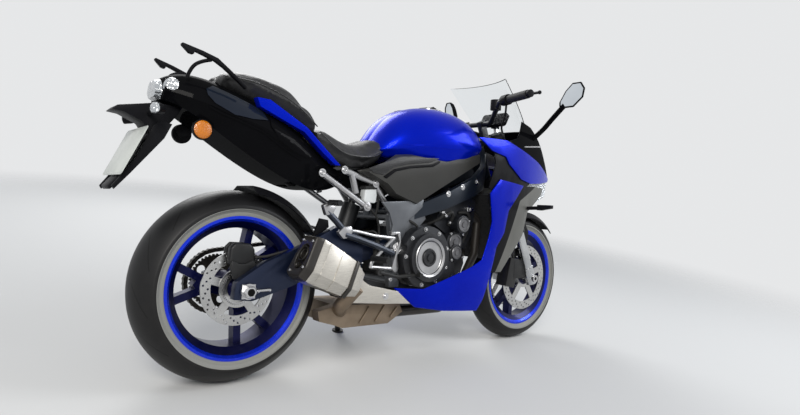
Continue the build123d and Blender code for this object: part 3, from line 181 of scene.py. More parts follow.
deselected()
bpy.ops.mesh.primitive_circle_add(vertices=96, radius=FLOOR_RADIUS, fill_type="NGON", location=FLOOR_PLACE)
floor = bpy.context.object
floor.name = "floor"
with editing(floor):
    bpy.ops.mesh.inset(thickness=FLOOR_RIM)
floor_material, tree, floor_shader = new_material("pale floor")
floor_shader.inputs["Base Color"].default_value = FLOOR_COLOUR
floor_shader.inputs["Roughness"].default_value = 0.9
edge = noded(tree, "TexGradient", Vector=mapped(tree, FADE_PLACE, scale=FADE_SCALE))
edge.gradient_type = "SPHERICAL"
ramp = noded(tree, "ValToRGB", Fac=edge.outputs["Fac"])
for stop, position in zip(ramp.color_ramp.elements, FADE_ENDS):
    stop.position = position
ramp.color_ramp.interpolation = "EASE"
clear_edge = noded(tree, "BsdfTransparent").outputs["BSDF"]
fed(tree, tree.nodes["Material Output"].inputs["Surface"],
    faded(tree, ramp.outputs["Color"], clear_edge, floor_shader.outputs["BSDF"]))
floor.data.materials.append(floor_material)

world = bpy.data.worlds.new("pale sky")
world.use_nodes = True
tree = world.node_tree
sky = tree.nodes["Background"]
sky.inputs["Color"].default_value = SKY
sky.inputs["Strength"].default_value = SKY_LIGHT
plain = noded(tree, "Background", Color=BACKDROP, Strength=BACKDROP_LIGHT).outputs["Background"]
rays = noded(tree, "LightPath").outputs
seen = rays["Is Camera Ray"]
for ray in ("Is Glossy Ray", "Is Transmission Ray"):
    seen = figured(tree, "MAXIMUM", seen, rays[ray])
fed(tree, tree.nodes["World Output"].inputs["Surface"], faded(tree, seen, sky.outputs["Background"], plain))
bpy.context.scene.world = world

for name, place, size, power, colour in LAMPS:
    deselected()
    bpy.ops.object.light_add(type="AREA", location=place)
    lamp = bpy.context.object
    lamp.name = name
    lamp.data.shape = "SQUARE"
    lamp.data.size = size
    lamp.data.energy = power
    lamp.data.color = colour
    lamp.rotation_mode = "QUATERNION"
    lamp.rotation_quaternion = (LAMPS_AIM - Vector(place)).to_track_quat("-Z", "Y")
bpy.context.scene.view_settings.view_transform = "Standard"

# Surfaces. Every finish is a little uneven: a slow change of tone, a fine grain that roughens and lifts it, and
# road dust that thins out with height. The group works these out, and each finish sets its own amounts.
ROAD_DUST = (0.2, 0.18, 0.155, 1)
DUST_BY_HEIGHT = (-2.2, 1.25)
DUST_PATCHES = 38.0
TONE_CONTRAST = (2.0, -0.6)
GRAIN_DEPTH = 0.0005
COAT_ROUGHNESS = 0.04

uneven = bpy.data.node_groups.new("uneven surface", "ShaderNodeTree")
for socket, kind, value in (
    ("Vector", "NodeSocketVector", (0, 0, 0)),
    ("Colour", "NodeSocketColor", (0.5, 0.5, 0.5, 1)),
    ("Second Colour", "NodeSocketColor", (0.5, 0.5, 0.5, 1)),
    ("Blotch Scale", "NodeSocketFloat", 6.0),
    ("Grain Scale", "NodeSocketFloat", 600.0),
    ("Fleck", "NodeSocketFloat", 0.0),
    ("Roughness", "NodeSocketFloat", 0.4),
    ("Spread", "NodeSocketFloat", 0.1),
    ("Dust", "NodeSocketFloat", 0.0),
    ("Height", "NodeSocketFloat", 0.0),
):
    made = uneven.interface.new_socket(socket, in_out="INPUT", socket_type=kind)
    made.default_value = value
for socket, kind in (("Colour", "Color"), ("Roughness", "Float"), ("Relief", "Float")):
    uneven.interface.new_socket(socket, in_out="OUTPUT", socket_type="NodeSocket" + kind)


def blended(tree, factor, first, second):
    """The result of a colour Mix node, whose colour sockets are reached by their place."""
    node = noded(tree, "Mix")
    node.data_type = "RGBA"
    for socket, value in ((node.inputs[0], factor), (node.inputs[6], first), (node.inputs[7], second)):
        fed(tree, socket, value)
    return node.outputs[2]


def cloudy(tree, place, scale, detail):
    """The value of a Noise Texture."""
    return noded(tree, "TexNoise", Vector=place, Scale=scale, Detail=detail).outputs["Fac"]


def split(tree, vector):
    """The X, Y and Z of a vector."""
    return noded(tree, "SeparateXYZ", Vector=vector).outputs


def bumped(tree, height, strength, depth):
    """Let a height raise the surface of a material."""
    bump = noded(tree, "Bump", Height=height, Strength=strength, Distance=depth)
    fed(tree, tree.nodes["Principled BSDF"].inputs["Normal"], bump.outputs["Normal"])


given = uneven.nodes.new("NodeGroupInput").outputs
put_out = uneven.nodes.new("NodeGroupOutput").inputs
blotches = cloudy(uneven, given["Vector"], given["Blotch Scale"], 4.0)
grain = cloudy(uneven, given["Vector"], given["Grain Scale"], 1.0)
flecks = figured(uneven, "MULTIPLY_ADD", grain, given["Fleck"], blotches)
tone = figured(uneven, "MULTIPLY_ADD", flecks, *TONE_CONTRAST, clamp=True)
toned = blended(uneven, tone, given["Colour"], given["Second Colour"])
lowness = figured(uneven, "MULTIPLY_ADD", given["Height"], *DUST_BY_HEIGHT, clamp=True)
patches = figured(uneven, "MULTIPLY", lowness, cloudy(uneven, given["Vector"], DUST_PATCHES, 5.0))
dust = figured(uneven, "MULTIPLY", patches, given["Dust"], clamp=True)
fed(uneven, put_out["Colour"], blended(uneven, dust, toned, ROAD_DUST))
off_middle = figured(uneven, "SUBTRACT", grain, 0.5)
roughened = figured(uneven, "MULTIPLY_ADD", off_middle, given["Spread"], given["Roughness"])
fed(uneven, put_out["Roughness"], figured(uneven, "ADD", roughened, dust, clamp=True))
fed(uneven, put_out["Relief"], grain)


def finish(name, colour, second, roughness, spread=0.1, metallic=0.0, coat=0.0, grain=600.0, lift=0.0, fleck=0.0,
           blotch=6.0, dust=0.0, stretch=(1, 1, 1), shine=0.5):
    """A material of one finish. Its effects follow the piece's own Object coordinates."""
    material, tree, shader = new_material(name)
    effects = noded(tree, "Group")
    effects.node_tree = uneven
    for socket, value in (
        ("Vector", mapped(tree, scale=stretch)), ("Height", split(tree, mapped(tree))["Z"]),
        ("Colour", (*colour, 1)), ("Second Colour", (*second, 1)), ("Blotch Scale", blotch),
        ("Grain Scale", grain), ("Fleck", fleck), ("Roughness", roughness), ("Spread", spread), ("Dust", dust),
    ):
        fed(tree, effects.inputs[socket], value)
    fed(tree, shader.inputs["Base Color"], effects.outputs["Colour"])
    fed(tree, shader.inputs["Roughness"], effects.outputs["Roughness"])
    if lift:
        bumped(tree, effects.outputs["Relief"], lift, GRAIN_DEPTH)
    for socket, value in (("Metallic", metallic), ("Specular IOR Level", shine), ("Coat Weight", coat),
                          ("Coat Roughness", COAT_ROUGHNESS)):
        shader.inputs[socket].default_value = value
    return material


# The wheels: cast alloy rims of three forked spokes, lacquered one blue. The open lip outside the tyre's bead
# shows that blue, while the spokes, the hub and the inside of the barrel are painted darker as painted shade.
LIP_RADIUS = 0.2115

lip_blue = finish("bright blue wheel lacquer", (0.0, 0.014, 0.46), (0.001, 0.03, 0.66), 0.24, 0.1, 0.6, 0.3,
                  grain=1800.0, fleck=0.3, blotch=4.0, dust=0.06, shine=0.2)
# A much darker copy of the same blue, painted on the spokes, the hub and the barrel's inside as painted shade.
spoke_painted_shade_blue = finish("blue wheel lacquer darkened as painted shade", (0.0003, 0.0016, 0.03), (0.0006, 0.003, 0.055), 0.3, 0.1, 0.6,
                    0.12, grain=1800.0, fleck=0.3, blotch=4.0, dust=0.08, shine=0.15)


def tidied(piece):
    """A piece with its seams merged and its faces turned outwards."""
    with editing(piece):
        bpy.ops.mesh.remove_doubles(threshold=0.00002)
        bpy.ops.mesh.normals_make_consistent(inside=False)
    return piece


def dressed(node):
    """A working copy of a part of the frame, its loose triangles merged."""
    piece = bpy.data.objects.new(node + " copy", frame["nodes"][node].data.copy())
    bpy.context.collection.objects.link(piece)
    take_up(piece)
    piece.data.materials.clear()
    bpy.ops.mesh.customdata_custom_splitnormals_clear()
    return tidied(piece)


def two_toned(piece, first, second, has_second):
    """A part's copy with two finishes, shared out by each face's centre and corners on the upright machine."""
    piece.data.materials.append(first)
    piece.data.materials.append(second)
    for face in piece.data.polygons:
        corners = [TO_UPRIGHT @ piece.data.vertices[i].co for i in face.vertices]
        face.material_index = int(has_second(TO_UPRIGHT @ face.center, corners))
    return piece


def fitted(piece, name, slot, material, stands_for=(), body="chassis", smooth=35, upright=True):
    """Lean a finished piece onto its stand, smooth it, give it its finish and put it on its body."""
    piece.name = name
    take_up(piece)
    bpy.ops.object.transform_apply(location=True, rotation=True, scale=True)
    if upright:
        piece.data.transform(STANDING)
    bpy.ops.object.shade_smooth_by_angle(angle=math.radians(smooth))
    if material:
        piece.data.materials.clear()
        piece.data.materials.append(material)
    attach(piece, body)
    if stands_for:
        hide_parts(*stands_for)
    return piece


for node, axle, body in (("front_rim", FRONT_AXLE, "front_wheel"), ("rear_rim", REAR_AXLE, "rear_wheel")):
    # Faces that reach inside the lip's radius take the painted shade blue.
    rim = two_toned(dressed(node), lip_blue, spoke_painted_shade_blue, lambda centre, corners: min(
        math.hypot(corner.x - axle.x, corner.z - axle.z) for corner in corners) <= LIP_RADIUS)
    fitted(rim, node + "_lacquered", "blue_paint", None, (node,), body, upright=False)

# The tyres: black radial rubber with a round crown and a few curved sipes towards the shoulders, whose grooves
# are painted near black as painted shade. On the sidewall beside the rim is a ridged band that the light catches,
# painted pale grey as a painted sheen.
TYRES = [
    # node, axle, body, half width, outside radius, crown radius, rim half, sipes
    ("front_tyre", FRONT_AXLE, "front_wheel", 0.059, 0.3, 0.062, 0.044, 15),
    ("rear_tyre", REAR_AXLE, "rear_wheel", 0.093, 0.311, 0.112, 0.076, 13),
]
BEAD_RADIUS = 0.2165
TREAD_STEPS = 8
TREAD_TURN = math.radians(86)
TREAD_DEPTH = 0.062
LOWEST_TREAD = 0.252
SIPE_BEND = 0.55
SIPE_HALF_WIDTH = 0.024
SIPES_ACROSS = (0.3, 0.84)
# The near black painted into the sipes' grooves as painted shade.
SIPE_PAINTED_SHADE = (0.001, 0.001, 0.001, 1)
BAND_RADIUS = 0.253
BAND_RIDGES = 2600.0
# The pale grey painted on the sidewall band as a painted sheen.
BAND_PAINTED_SHEEN = (0.27, 0.27, 0.25, 1)


def turned(section, centre, steps=112, axis=(0, 1, 0)):
    """A turned piece: a closed section of (distance from the axis, place along it) spun once round."""
    way = Vector(axis).normalized()
    side = Vector((1, 0, 0)) if abs(way.x) < 0.9 else Vector((0, 0, 1))
    side = (side - way * side.dot(way)).normalized()
    deselected()
    bpy.ops.mesh.primitive_circle_add(vertices=len(section), radius=1, location=(0, 0, 0))
    piece = bpy.context.object
    for vertex, (distance, along) in zip(piece.data.vertices, section):
        vertex.co = Vector(centre) + side * distance + way * along
    with editing(piece):
        bpy.ops.mesh.spin(steps=steps, angle=math.tau, center=centre, axis=way)
    return tidied(piece)


def tyre_rubber(name, axle, half, sipes, outer):
    """Rubber whose sipes are curved lines round the shoulder, cut in by the bump and painted near black as shade,
    and whose sidewall band is painted paler as a painted sheen.
    """
    material = finish(name, (0.005, 0.005, 0.0055), (0.009, 0.009, 0.01), 0.44, 0.12, grain=900.0, lift=0.15,
                      blotch=5.0, dust=0.05, shine=0.22)
    tree = material.node_tree
    shader = tree.nodes["Principled BSDF"]
    to_wheel = Matrix.Rotation(math.radians(90), 4, "X") @ Matrix.Translation(-axle) @ TO_UPRIGHT
    x, y, z = split(tree, mapped(tree, to_wheel.translation, to_wheel.to_euler()))
    share = figured(tree, "DIVIDE", figured(tree, "ABSOLUTE", z), half)
    bend = figured(tree, "MULTIPLY", figured(tree, "POWER", share, 2.0), SIPE_BEND)
    bent = figured(tree, "ADD", figured(tree, "ARCTAN2", y, x), bend)
    sided = figured(tree, "MULTIPLY", figured(tree, "SIGN", z), math.pi / sipes / 2)
    steps = figured(tree, "MULTIPLY", figured(tree, "ADD", bent, sided), sipes / math.tau)
    beat = figured(tree, "ABSOLUTE", figured(tree, "SUBTRACT", figured(tree, "FRACT", steps), 0.5))
    squares = figured(tree, "ADD", figured(tree, "POWER", x, 2.0), figured(tree, "POWER", y, 2.0))
    radius = figured(tree, "SQRT", squares)
    cut = figured(tree, "LESS_THAN", beat, SIPE_HALF_WIDTH)
    for there in (
        figured(tree, "GREATER_THAN", share, SIPES_ACROSS[0]),
        figured(tree, "LESS_THAN", share, SIPES_ACROSS[1]),
        figured(tree, "GREATER_THAN", radius, outer - TREAD_DEPTH),
    ):
        cut = figured(tree, "MULTIPLY", cut, there)
    band = figured(tree, "LESS_THAN", radius, BAND_RADIUS)
    ridges = figured(tree, "SINE", figured(tree, "MULTIPLY", radius, BAND_RIDGES))
    # The sidewall band is painted pale as a painted sheen, rippled by its ridges, and the sipes are painted near
    # black as painted shade.
    painted_sheen_wall = blended(tree, figured(tree, "MULTIPLY", band, figured(tree, "MULTIPLY_ADD", ridges, 0.12, 0.8)),
                     shader.inputs["Base Color"].links[0].from_socket, BAND_PAINTED_SHEEN)
    fed(tree, shader.inputs["Base Color"], blended(tree, cut, painted_sheen_wall, SIPE_PAINTED_SHADE))
    height = shader.inputs["Normal"].links[0].from_node.inputs["Height"]
    relief = figured(tree, "MULTIPLY_ADD", cut, -8.0, height.links[0].from_socket)
    fed(tree, height, figured(tree, "MULTIPLY_ADD", figured(tree, "MULTIPLY", band, ridges), 0.5, relief))
    return material


for node, axle, body, half, outer, crown, rim_half, sipes in TYRES:
    tread = []
    for step in range(-TREAD_STEPS, TREAD_STEPS + 1):
        along = half * math.sin(step / TREAD_STEPS * TREAD_TURN) / math.sin(TREAD_TURN)
        on_crown = abs(along) < crown * 0.98
        drop = crown - math.sqrt(max(crown ** 2 - along ** 2, 0.0)) if on_crown else crown * 0.8
        tread.append((max(outer - drop, LOWEST_TREAD), along))
    shoulder = tread[-1][0]
    wall = [
        (shoulder - 0.01, half * 0.995), (shoulder * 0.55 + 0.24 * 0.45, half * 0.955), (0.2435, half * 0.9),
        (0.242, half * 0.885), (0.233, rim_half + (half - rim_half) * 0.35), (0.2245, rim_half + 0.0015),
        (BEAD_RADIUS, rim_half - 0.002),
    ]
    wall = [(r, y) for r, y in wall if r < shoulder]
    inner = [(BEAD_RADIUS, rim_half * 0.8), (0.235, half * 0.78), (0.262, half * 0.55)]
    section = tread + wall + inner + [(r, -y) for r, y in reversed(wall + inner)]
    tyre = turned(section, axle, 128)
    tread_rubber = tyre_rubber(node.replace("_", " ") + " rubber", axle, half, sipes, outer)
    fitted(tyre, node + "_treaded", "tyre_rubber", tread_rubber, (node,), body, smooth=40)

# The tail: a long gloss black moulding under the pillion. Each side has a raised blue-black leaf, a gloss black
# leaf before it and a thin crease below them, all pressed onto the moulding's own curve.
LEAVES = [
    # name, outline seen from the side
    ("upper_leaf", [(-152, 914), (-130, 928), (-80, 912), (-20, 892), (22, 876), (38, 846), (-12, 842), (-72, 847),
                    (-129, 873), (-150, 896)]),
    ("lower_leaf", [(48, 858), (104, 842), (150, 812), (188, 776), (204, 748), (188, 743), (136, 760), (80, 789),
                    (48, 828)]),
    ("crease", [(-146, 866), (-107, 850), (-49, 834), (18, 813), (70, 786), (108, 765), (168, 738), (168, 733),
                (108, 759), (70, 780), (18, 807), (-49, 828), (-107, 844), (-146, 860)]),
]
LEAF_LIFT = 0.003
LEAF_THICK = 0.0016

gloss_black = finish("gloss black lacquer", (0.003, 0.0031, 0.0036), (0.005, 0.005, 0.0062), 0.26, 0.08, coat=0.06,
                     grain=900.0, dust=0.02, shine=0.0)
leaf_black = finish("blue black leaf lacquer", (0.006, 0.009, 0.016), (0.01, 0.014, 0.024), 0.16, 0.05, coat=0.2,
                    grain=1200.0, fleck=0.3, shine=0.1)


def painted(material, *nodes):
    """Give parts whose shape is already right their finish."""
    for node in nodes:
        frame["nodes"][node].data.materials.clear()
        frame["nodes"][node].data.materials.append(material)


def joined(pieces):
    """Several pieces made one."""
    take_up(*pieces)
    if len(pieces) > 1:
        bpy.ops.object.join()
    return bpy.context.object


def worked(piece, kind, **settings):
    """A piece with one modifier applied."""
    take_up(piece)
    modifier = piece.modifiers.new(kind.lower(), kind)
    for setting, value in settings.items():
        setattr(modifier, setting, value)
    bpy.ops.object.modifier_apply(modifier=modifier.name)
    return piece


def filled(outline, across=0.0, cuts=2, inset=0.0):
    """A flat skin: a ring placed on an outline of millimetres and filled, with an inset middle that can bend."""
    deselected()
    bpy.ops.mesh.primitive_circle_add(vertices=len(outline), radius=1)
    piece = bpy.context.object
    for vertex, (x, z) in zip(piece.data.vertices, outline):
        vertex.co = (x / 1000, across, z / 1000)
    with editing(piece):
        if cuts:
            bpy.ops.mesh.subdivide(number_cuts=cuts)
        bpy.ops.mesh.edge_face_add()
        if inset:
            bpy.ops.mesh.inset(thickness=inset)
            bpy.ops.mesh.poke()
            bpy.ops.mesh.select_all(action="SELECT")
            bpy.ops.mesh.subdivide(number_cuts=3)
    return piece


def pressed_on(piece, node, lift, thick):
    """Press a skin across onto a part of the frame, at a small lift, and give it its thickness."""
    piece.matrix_world = STANDING
    bpy.context.view_layer.update()
    worked(piece, "SHRINKWRAP", target=frame["nodes"][node], wrap_method="PROJECT", use_project_y=True,
           use_negative_direction=False, use_positive_direction=True, offset=lift)
    piece.matrix_world = Matrix.Identity(4)
    return tidied(worked(piece, "SOLIDIFY", thickness=thick, offset=0, use_even_offset=False))


def both_sides(piece):
    """A piece joined with its mirror image on the machine's other side."""
    take_up(piece)
    bpy.ops.object.duplicate()
    other = bpy.context.object
    other.data.transform(Matrix.Scale(-1, 4, (0, 1, 0)))
    return tidied(joined([piece, other]))


painted(gloss_black, "tail_cowl")
for name, outline in LEAVES:
    leaf = filled(outline, -0.2, 3, 0.0 if name == "crease" else 0.004)
    leaf = both_sides(pressed_on(leaf, "tail_cowl", LEAF_LIFT, LEAF_THICK))
    fitted(leaf, "tail_" + name, "gloss_black", leaf_black if name == "upper_leaf" else gloss_black)

# The tail's bright strips: two thin blue mouldings, one each side below the pillion seat, narrowing to a point
# towards the rider and clipped onto the tail.
blue_lacquer = finish("blue metallic lacquer", (0.0, 0.0035, 0.28), (0.0, 0.011, 0.44), 0.26, 0.08, 0.42, 0.08,
                      grain=2600.0, fleck=0.35, blotch=2.5, dust=0.02, shine=0.02)


def broken_edges(piece, width, segments=2, angle=30):
    """A piece with its sharp edges rounded a little, as a mould or a file leaves them."""
    return worked(piece, "BEVEL", width=width, segments=segments, limit_method="ANGLE",
                  angle_limit=math.radians(angle))


def flattened(piece, angle=1.0):
    """A part's copy with the triangles of each flat face joined, ready to have its edges broken."""
    with editing(piece):
        bpy.ops.mesh.dissolve_limited(angle_limit=math.radians(angle))
    return piece


def rounded_off(node, name, slot, material, width, segments=3, flat=0.5, **placing):
    """Put a copy of a part with its edges rounded in the part's place."""
    piece = flattened(dressed(node), flat) if flat else dressed(node)
    return fitted(broken_edges(piece, width, segments), name, slot, material, (node,), upright=False, **placing)


rounded_off("tail_side_strips", "tail_strips_painted", "blue_paint", blue_lacquer, 0.003, flat=0)

# The grab rails: a pair of cast alloy blades, powder coated black, that rise beside the pillion seat and end behind
# it in a barbed tip. Each is held down at its front end and stands on a slim strut at the back.
RAIL = [(-40, 936), (-92, 974), (-134, 1003), (-178, 1016), (-236, 1029), (-238, 1022), (-216, 1002), (-203, 1000),
        (-200, 1010), (-186, 1006), (-143, 992), (-117, 978), (-70, 946), (-44, 926)]
RAIL_HALF = 0.0085
RAIL_SPREAD = [(-240, -0.126), (-143, -0.138), (-40, -0.141)]
STRUT = [(-150, -134, 996), (-176, -122, 990), (-200, -106, 968), (-206, -97, 938)]

satin_moulding = finish("satin black moulding", (0.005, 0.005, 0.006), (0.01, 0.01, 0.012), 0.42, 0.2,
                        grain=1500.0, lift=0.25, dust=0.05, shine=0.06)


def slab(outline, near, far, width=0.0015, cuts=0, segments=2):
    """A flat plate: a filled outline extruded across to its thickness, with its edges broken."""
    piece = filled(outline, near, cuts)
    with editing(piece):
        bpy.ops.mesh.extrude_region_move(TRANSFORM_OT_translate={"value": (0, far - near, 0)})
    return broken_edges(tidied(piece), width, segments)


def hose(points, radius, sides=3, order=3):
    """A bar or hose that runs smoothly through its points of millimetres."""
    curve = bpy.data.curves.new("hose", "CURVE")
    curve.dimensions = "3D"
    line = curve.splines.new("NURBS")
    line.points.add(len(points) - 1)
    for point, place in zip(line.points, points):
        point.co = (*(value / 1000 for value in place), 1)
    line.order_u = order
    line.use_endpoint_u = True
    curve.resolution_u = 6
    curve.bevel_depth = radius
    curve.bevel_resolution = sides
    curve.use_fill_caps = True
    piece = bpy.data.objects.new("hose", curve)
    bpy.context.collection.objects.link(piece)
    take_up(piece)
    bpy.ops.object.convert(target="MESH")
    return tidied(bpy.context.object)


def read_off(table, place):
    """A table's value at a place, on straight lines between its rows and level beyond its ends."""
    place = min(max(place, table[0][0]), table[-1][0])
    for (back, value_back), (front, value_front) in zip(table, table[1:]):
        if back <= place <= front:
            return value_back + (value_front - value_back) * (place - back) / (front - back)


rail = slab(RAIL, -RAIL_HALF, RAIL_HALF, 0.004, segments=3)
for vertex in rail.data.vertices:
    vertex.co.y += read_off(RAIL_SPREAD, vertex.co.x * 1000)
rails = both_sides(joined([rail, hose(STRUT, 0.0055)]))
fitted(rails, "grab_rails_barbed", "black_plastic", satin_moulding, ("grab_rails",))

# The tail lamp: a clear ribbed lens over bright facets, let into the end of the tail, with a small round lamp at
# each of its corners.
LAMP_CORNER = (-0.243, -0.074, 0.912)
LAMP_SECTION = [(0.0, 0.01), (0.012, 0.0085), (0.02, 0.0045), (0.0245, -0.001), (0.0245, -0.006), (0.0, -0.006)]
LENS_NARROWING = 0.72


def embossed(material, pattern, output, scale, strength, depth, turn=0.0):
    """Press a pattern into a finish."""
    tree = material.node_tree
    place = mapped(tree, rotation=(0, math.radians(turn), 0))
    bumped(tree, noded(tree, pattern, Vector=place, Scale=scale).outputs[output], strength, depth)


lens_facets = finish("clear lens over facets", (0.42, 0.44, 0.46), (0.6, 0.62, 0.64), 0.1, 0.05, 0.75, 0.6,
                     grain=300.0, blotch=50.0)
embossed(lens_facets, "TexVoronoi", "Distance", 130.0, 1.0, 0.004)
lamp_lens = broken_edges(dressed("tail_light"), 0.004, 3)
for vertex in lamp_lens.data.vertices:
    place = TO_UPRIGHT @ vertex.co
    vertex.co = STANDING @ Vector((place.x, place.y * LENS_NARROWING, place.z))
fitted(lamp_lens, "tail_light_lens", "clear_lens", lens_facets, ("tail_light",), upright=False)
corner = turned(LAMP_SECTION, LAMP_CORNER, 36, (-0.72, -0.68, 0.08))
fitted(both_sides(corner), "tail_light_corners", "clear_lens", lens_facets)

# The rear direction signals: round clear lenses in black cups, each on a short flexible stalk from the plate's
# holder, and the round amber side reflectors in black rims, on lugs under the tail.
SIGNAL = (-0.294, -0.15, 0.828)
SIGNAL_WAY = (0.8, 0.6, 0)
CUP = [(0.0, 0.022), (0.01, 0.02), (0.0155, 0.008), (0.0175, -0.008), (0.0185, -0.015), (0.0162, -0.0155),
       (0.0, -0.013)]
LENS = [(0.0, -0.023), (0.008, -0.0216), (0.013, -0.019), (0.016, -0.0155), (0.0, -0.012)]
REFLECTOR = (-0.15, -0.092, 0.794)
RIM = [(0.0, 0.007), (0.028, 0.007), (0.031, 0.004), (0.031, -0.006), (0.0285, -0.008), (0.0275, -0.0062),
       (0.0, -0.0062)]
DISC = [(0.0, -0.01), (0.018, -0.0092), (0.0265, -0.0068), (0.0272, -0.006), (0.0, -0.0058)]

cup = turned(CUP, SIGNAL, 32, SIGNAL_WAY)
stalk = hose([(-288, -40, 826), (-290, -90, 826), (-293, -136, 828)], 0.0075)
fitted(both_sides(joined([cup, stalk])), "rear_signal_cups", "black_plastic", satin_moulding, ("rear_signals",))
fitted(both_sides(turned(LENS, SIGNAL, 32, SIGNAL_WAY)), "rear_signal_lenses", "clear_lens", lens_facets)
lug = slab([(-176, 812), (-124, 845), (-96, 836), (-128, 788), (-162, 782)], -0.086, -0.08)
fitted(both_sides(joined([turned(RIM, REFLECTOR, 48), lug])), "reflector_rims", "black_plastic", satin_moulding)
amber_lens = finish("amber reflector", (0.46, 0.125, 0.003), (0.6, 0.185, 0.005), 0.24, 0.05, coat=0.25,
                    grain=400.0, blotch=30.0)
embossed(amber_lens, "TexVoronoi", "Distance", 260.0, 0.5, 0.002)
fitted(both_sides(turned(DISC, REFLECTOR, 48)), "reflector_discs", "amber_lens", amber_lens)

# The plate's holder: a long pointed moulding hanging from the tail, with a flat roof above the pale blank plate.
# The plate is pressed from thin sheet, with round corners and a raised edge.
HOLDER = [(-196, 858), (-250, 861), (-289, 857), (-372, 839), (-386, 825), (-356, 822), (-304, 800), (-284, 770),
          (-322, 690), (-386, 610), (-380, 599), (-341, 642), (-256, 752), (-236, 796), (-204, 838)]
CHEEK = [(-262, 806), (-284, 790), (-330, 686), (-384, 610), (-378, 600), (-341, 644), (-252, 756), (-232, 800)]
PLATE_PLACE = Vector((-0.334, 0, 0.711))
PLATE_BACK = Vector((-0.911, 0, 0.412))
PLATE_UP = Vector((0.412, 0, 0.911))
PLATE_BEHIND_PLACE = 0.004
PLATE_HALF_WIDTH = 0.11
PLATE_HALF_HEIGHT = 0.078

holder = joined([slab(HOLDER, -0.042, 0.042, 0.003), both_sides(slab(CHEEK, -0.078, -0.07, 0.002))])
fitted(holder, "plate_holder_moulded", "black_plastic", satin_moulding, ("plate_holder",))
plate_paint = finish("pale plate paint", (0.5, 0.52, 0.49), (0.62, 0.64, 0.6), 0.32, 0.1, grain=500.0, blotch=10.0,
                     dust=0.08)
deselected()
bpy.ops.mesh.primitive_plane_add(size=1)
plate = bpy.context.object
for vertex, (wide, tall) in zip(plate.data.vertices, ((-1, -1), (1, -1), (-1, 1), (1, 1))):
    across = Vector((0, wide * PLATE_HALF_WIDTH, 0))
    vertex.co = PLATE_PLACE + PLATE_BACK * PLATE_BEHIND_PLACE + across + PLATE_UP * (tall * PLATE_HALF_HEIGHT)
with editing(plate):
    bpy.ops.mesh.bevel(offset=0.01, segments=4, affect="VERTICES")
    bpy.ops.mesh.select_all(action="SELECT")
    bpy.ops.mesh.inset(thickness=0.0035)
    bpy.ops.mesh.inset(thickness=0.0015, depth=-0.0009)
plate = worked(plate, "SOLIDIFY", thickness=0.0016, offset=0)
fitted(tidied(plate), "number_plate_blank", "plate_white", plate_paint, ("number_plate",))

# The exhaust: a stubby brushed steel silencer, six-sided in section. It has a raised seam round it and is held by
# a black clamp near its front.
MUFFLER_END = Vector((0.196, -0.212, 0.402))
MUFFLER_WAY = Vector((-0.906, 0, 0.423))
MUFFLER_DOWN = Vector((-0.423, 0, -0.906))
CORNERS = [(1.0, 0.85), (0.55, 1.0), (-0.7, 0.95), (-1.0, 0.45), (-0.75, -1.0), (0.8, -1.0)]
MUFFLER_BANDS = [
    # name, stations of (distance along, half height, half width)
    ("clamp", [(-0.134, 0.064, 0.051), (-0.134, 0.0665, 0.0535), (-0.12, 0.0675, 0.0545),
               (-0.12, 0.0645, 0.0515)]),
    ("front_seam", [(-0.06, 0.069, 0.0525), (-0.06, 0.0706, 0.0541), (-0.055, 0.071, 0.0543),
                    (-0.055, 0.0692, 0.0527)]),
]

brushed_steel = finish("brushed exhaust steel", (0.5, 0.475, 0.43), (0.64, 0.61, 0.55), 0.3, 0.22, 1.0, grain=90.0,
                       blotch=9.0, dust=0.05, stretch=(3, 40, 40))
bronzed_steel = finish("heat bronzed steel", (0.17, 0.125, 0.085), (0.3, 0.235, 0.17), 0.4, 0.25, 0.9, grain=500.0,
                       lift=0.2, blotch=9.0, dust=0.35)
cap_black = finish("heatproof black", (0.02, 0.018, 0.016), (0.036, 0.032, 0.028), 0.36, 0.2, 0.4, grain=1200.0,
                   lift=0.2, dust=0.1)


def muffler_point(distance, out, low):
    """A point of the silencer, by the distance behind its body's end, to the left of and below its own axis."""
    return MUFFLER_END + MUFFLER_WAY * distance + Vector((0, out, 0)) + MUFFLER_DOWN * low


def lofted(rings, ends=True):
    """A skin over rings of points: a grid whose rows are placed on them, closed along its seam and at its ends."""
    rows, columns = len(rings), len(rings[0])
    deselected()
    bpy.ops.mesh.primitive_grid_add(x_subdivisions=columns, y_subdivisions=rows - 1, size=1)
    piece = bpy.context.object
    for row, ring in enumerate(rings):
        for column in range(columns + 1):
            piece.data.vertices[row * (columns + 1) + column].co = ring[column % columns]
    tidied(piece)
    if ends:
        with editing(piece):
            bpy.ops.mesh.fill_holes(sides=0)
            bpy.ops.mesh.normals_make_consistent(inside=False)
    return piece


rounded_off("muffler", "muffler_brushed", "exhaust_steel", brushed_steel, 0.005, flat=1.0)
for name, stations in MUFFLER_BANDS:
    rings = [[muffler_point(distance, wide * across, low * tall) for across, low in CORNERS]
             for distance, tall, wide in stations]
    band = broken_edges(lofted(rings + rings[:1], ends=False), 0.0012)
    fitted(band, "muffler_" + name, "exhaust_steel", cap_black if name == "clamp" else brushed_steel)

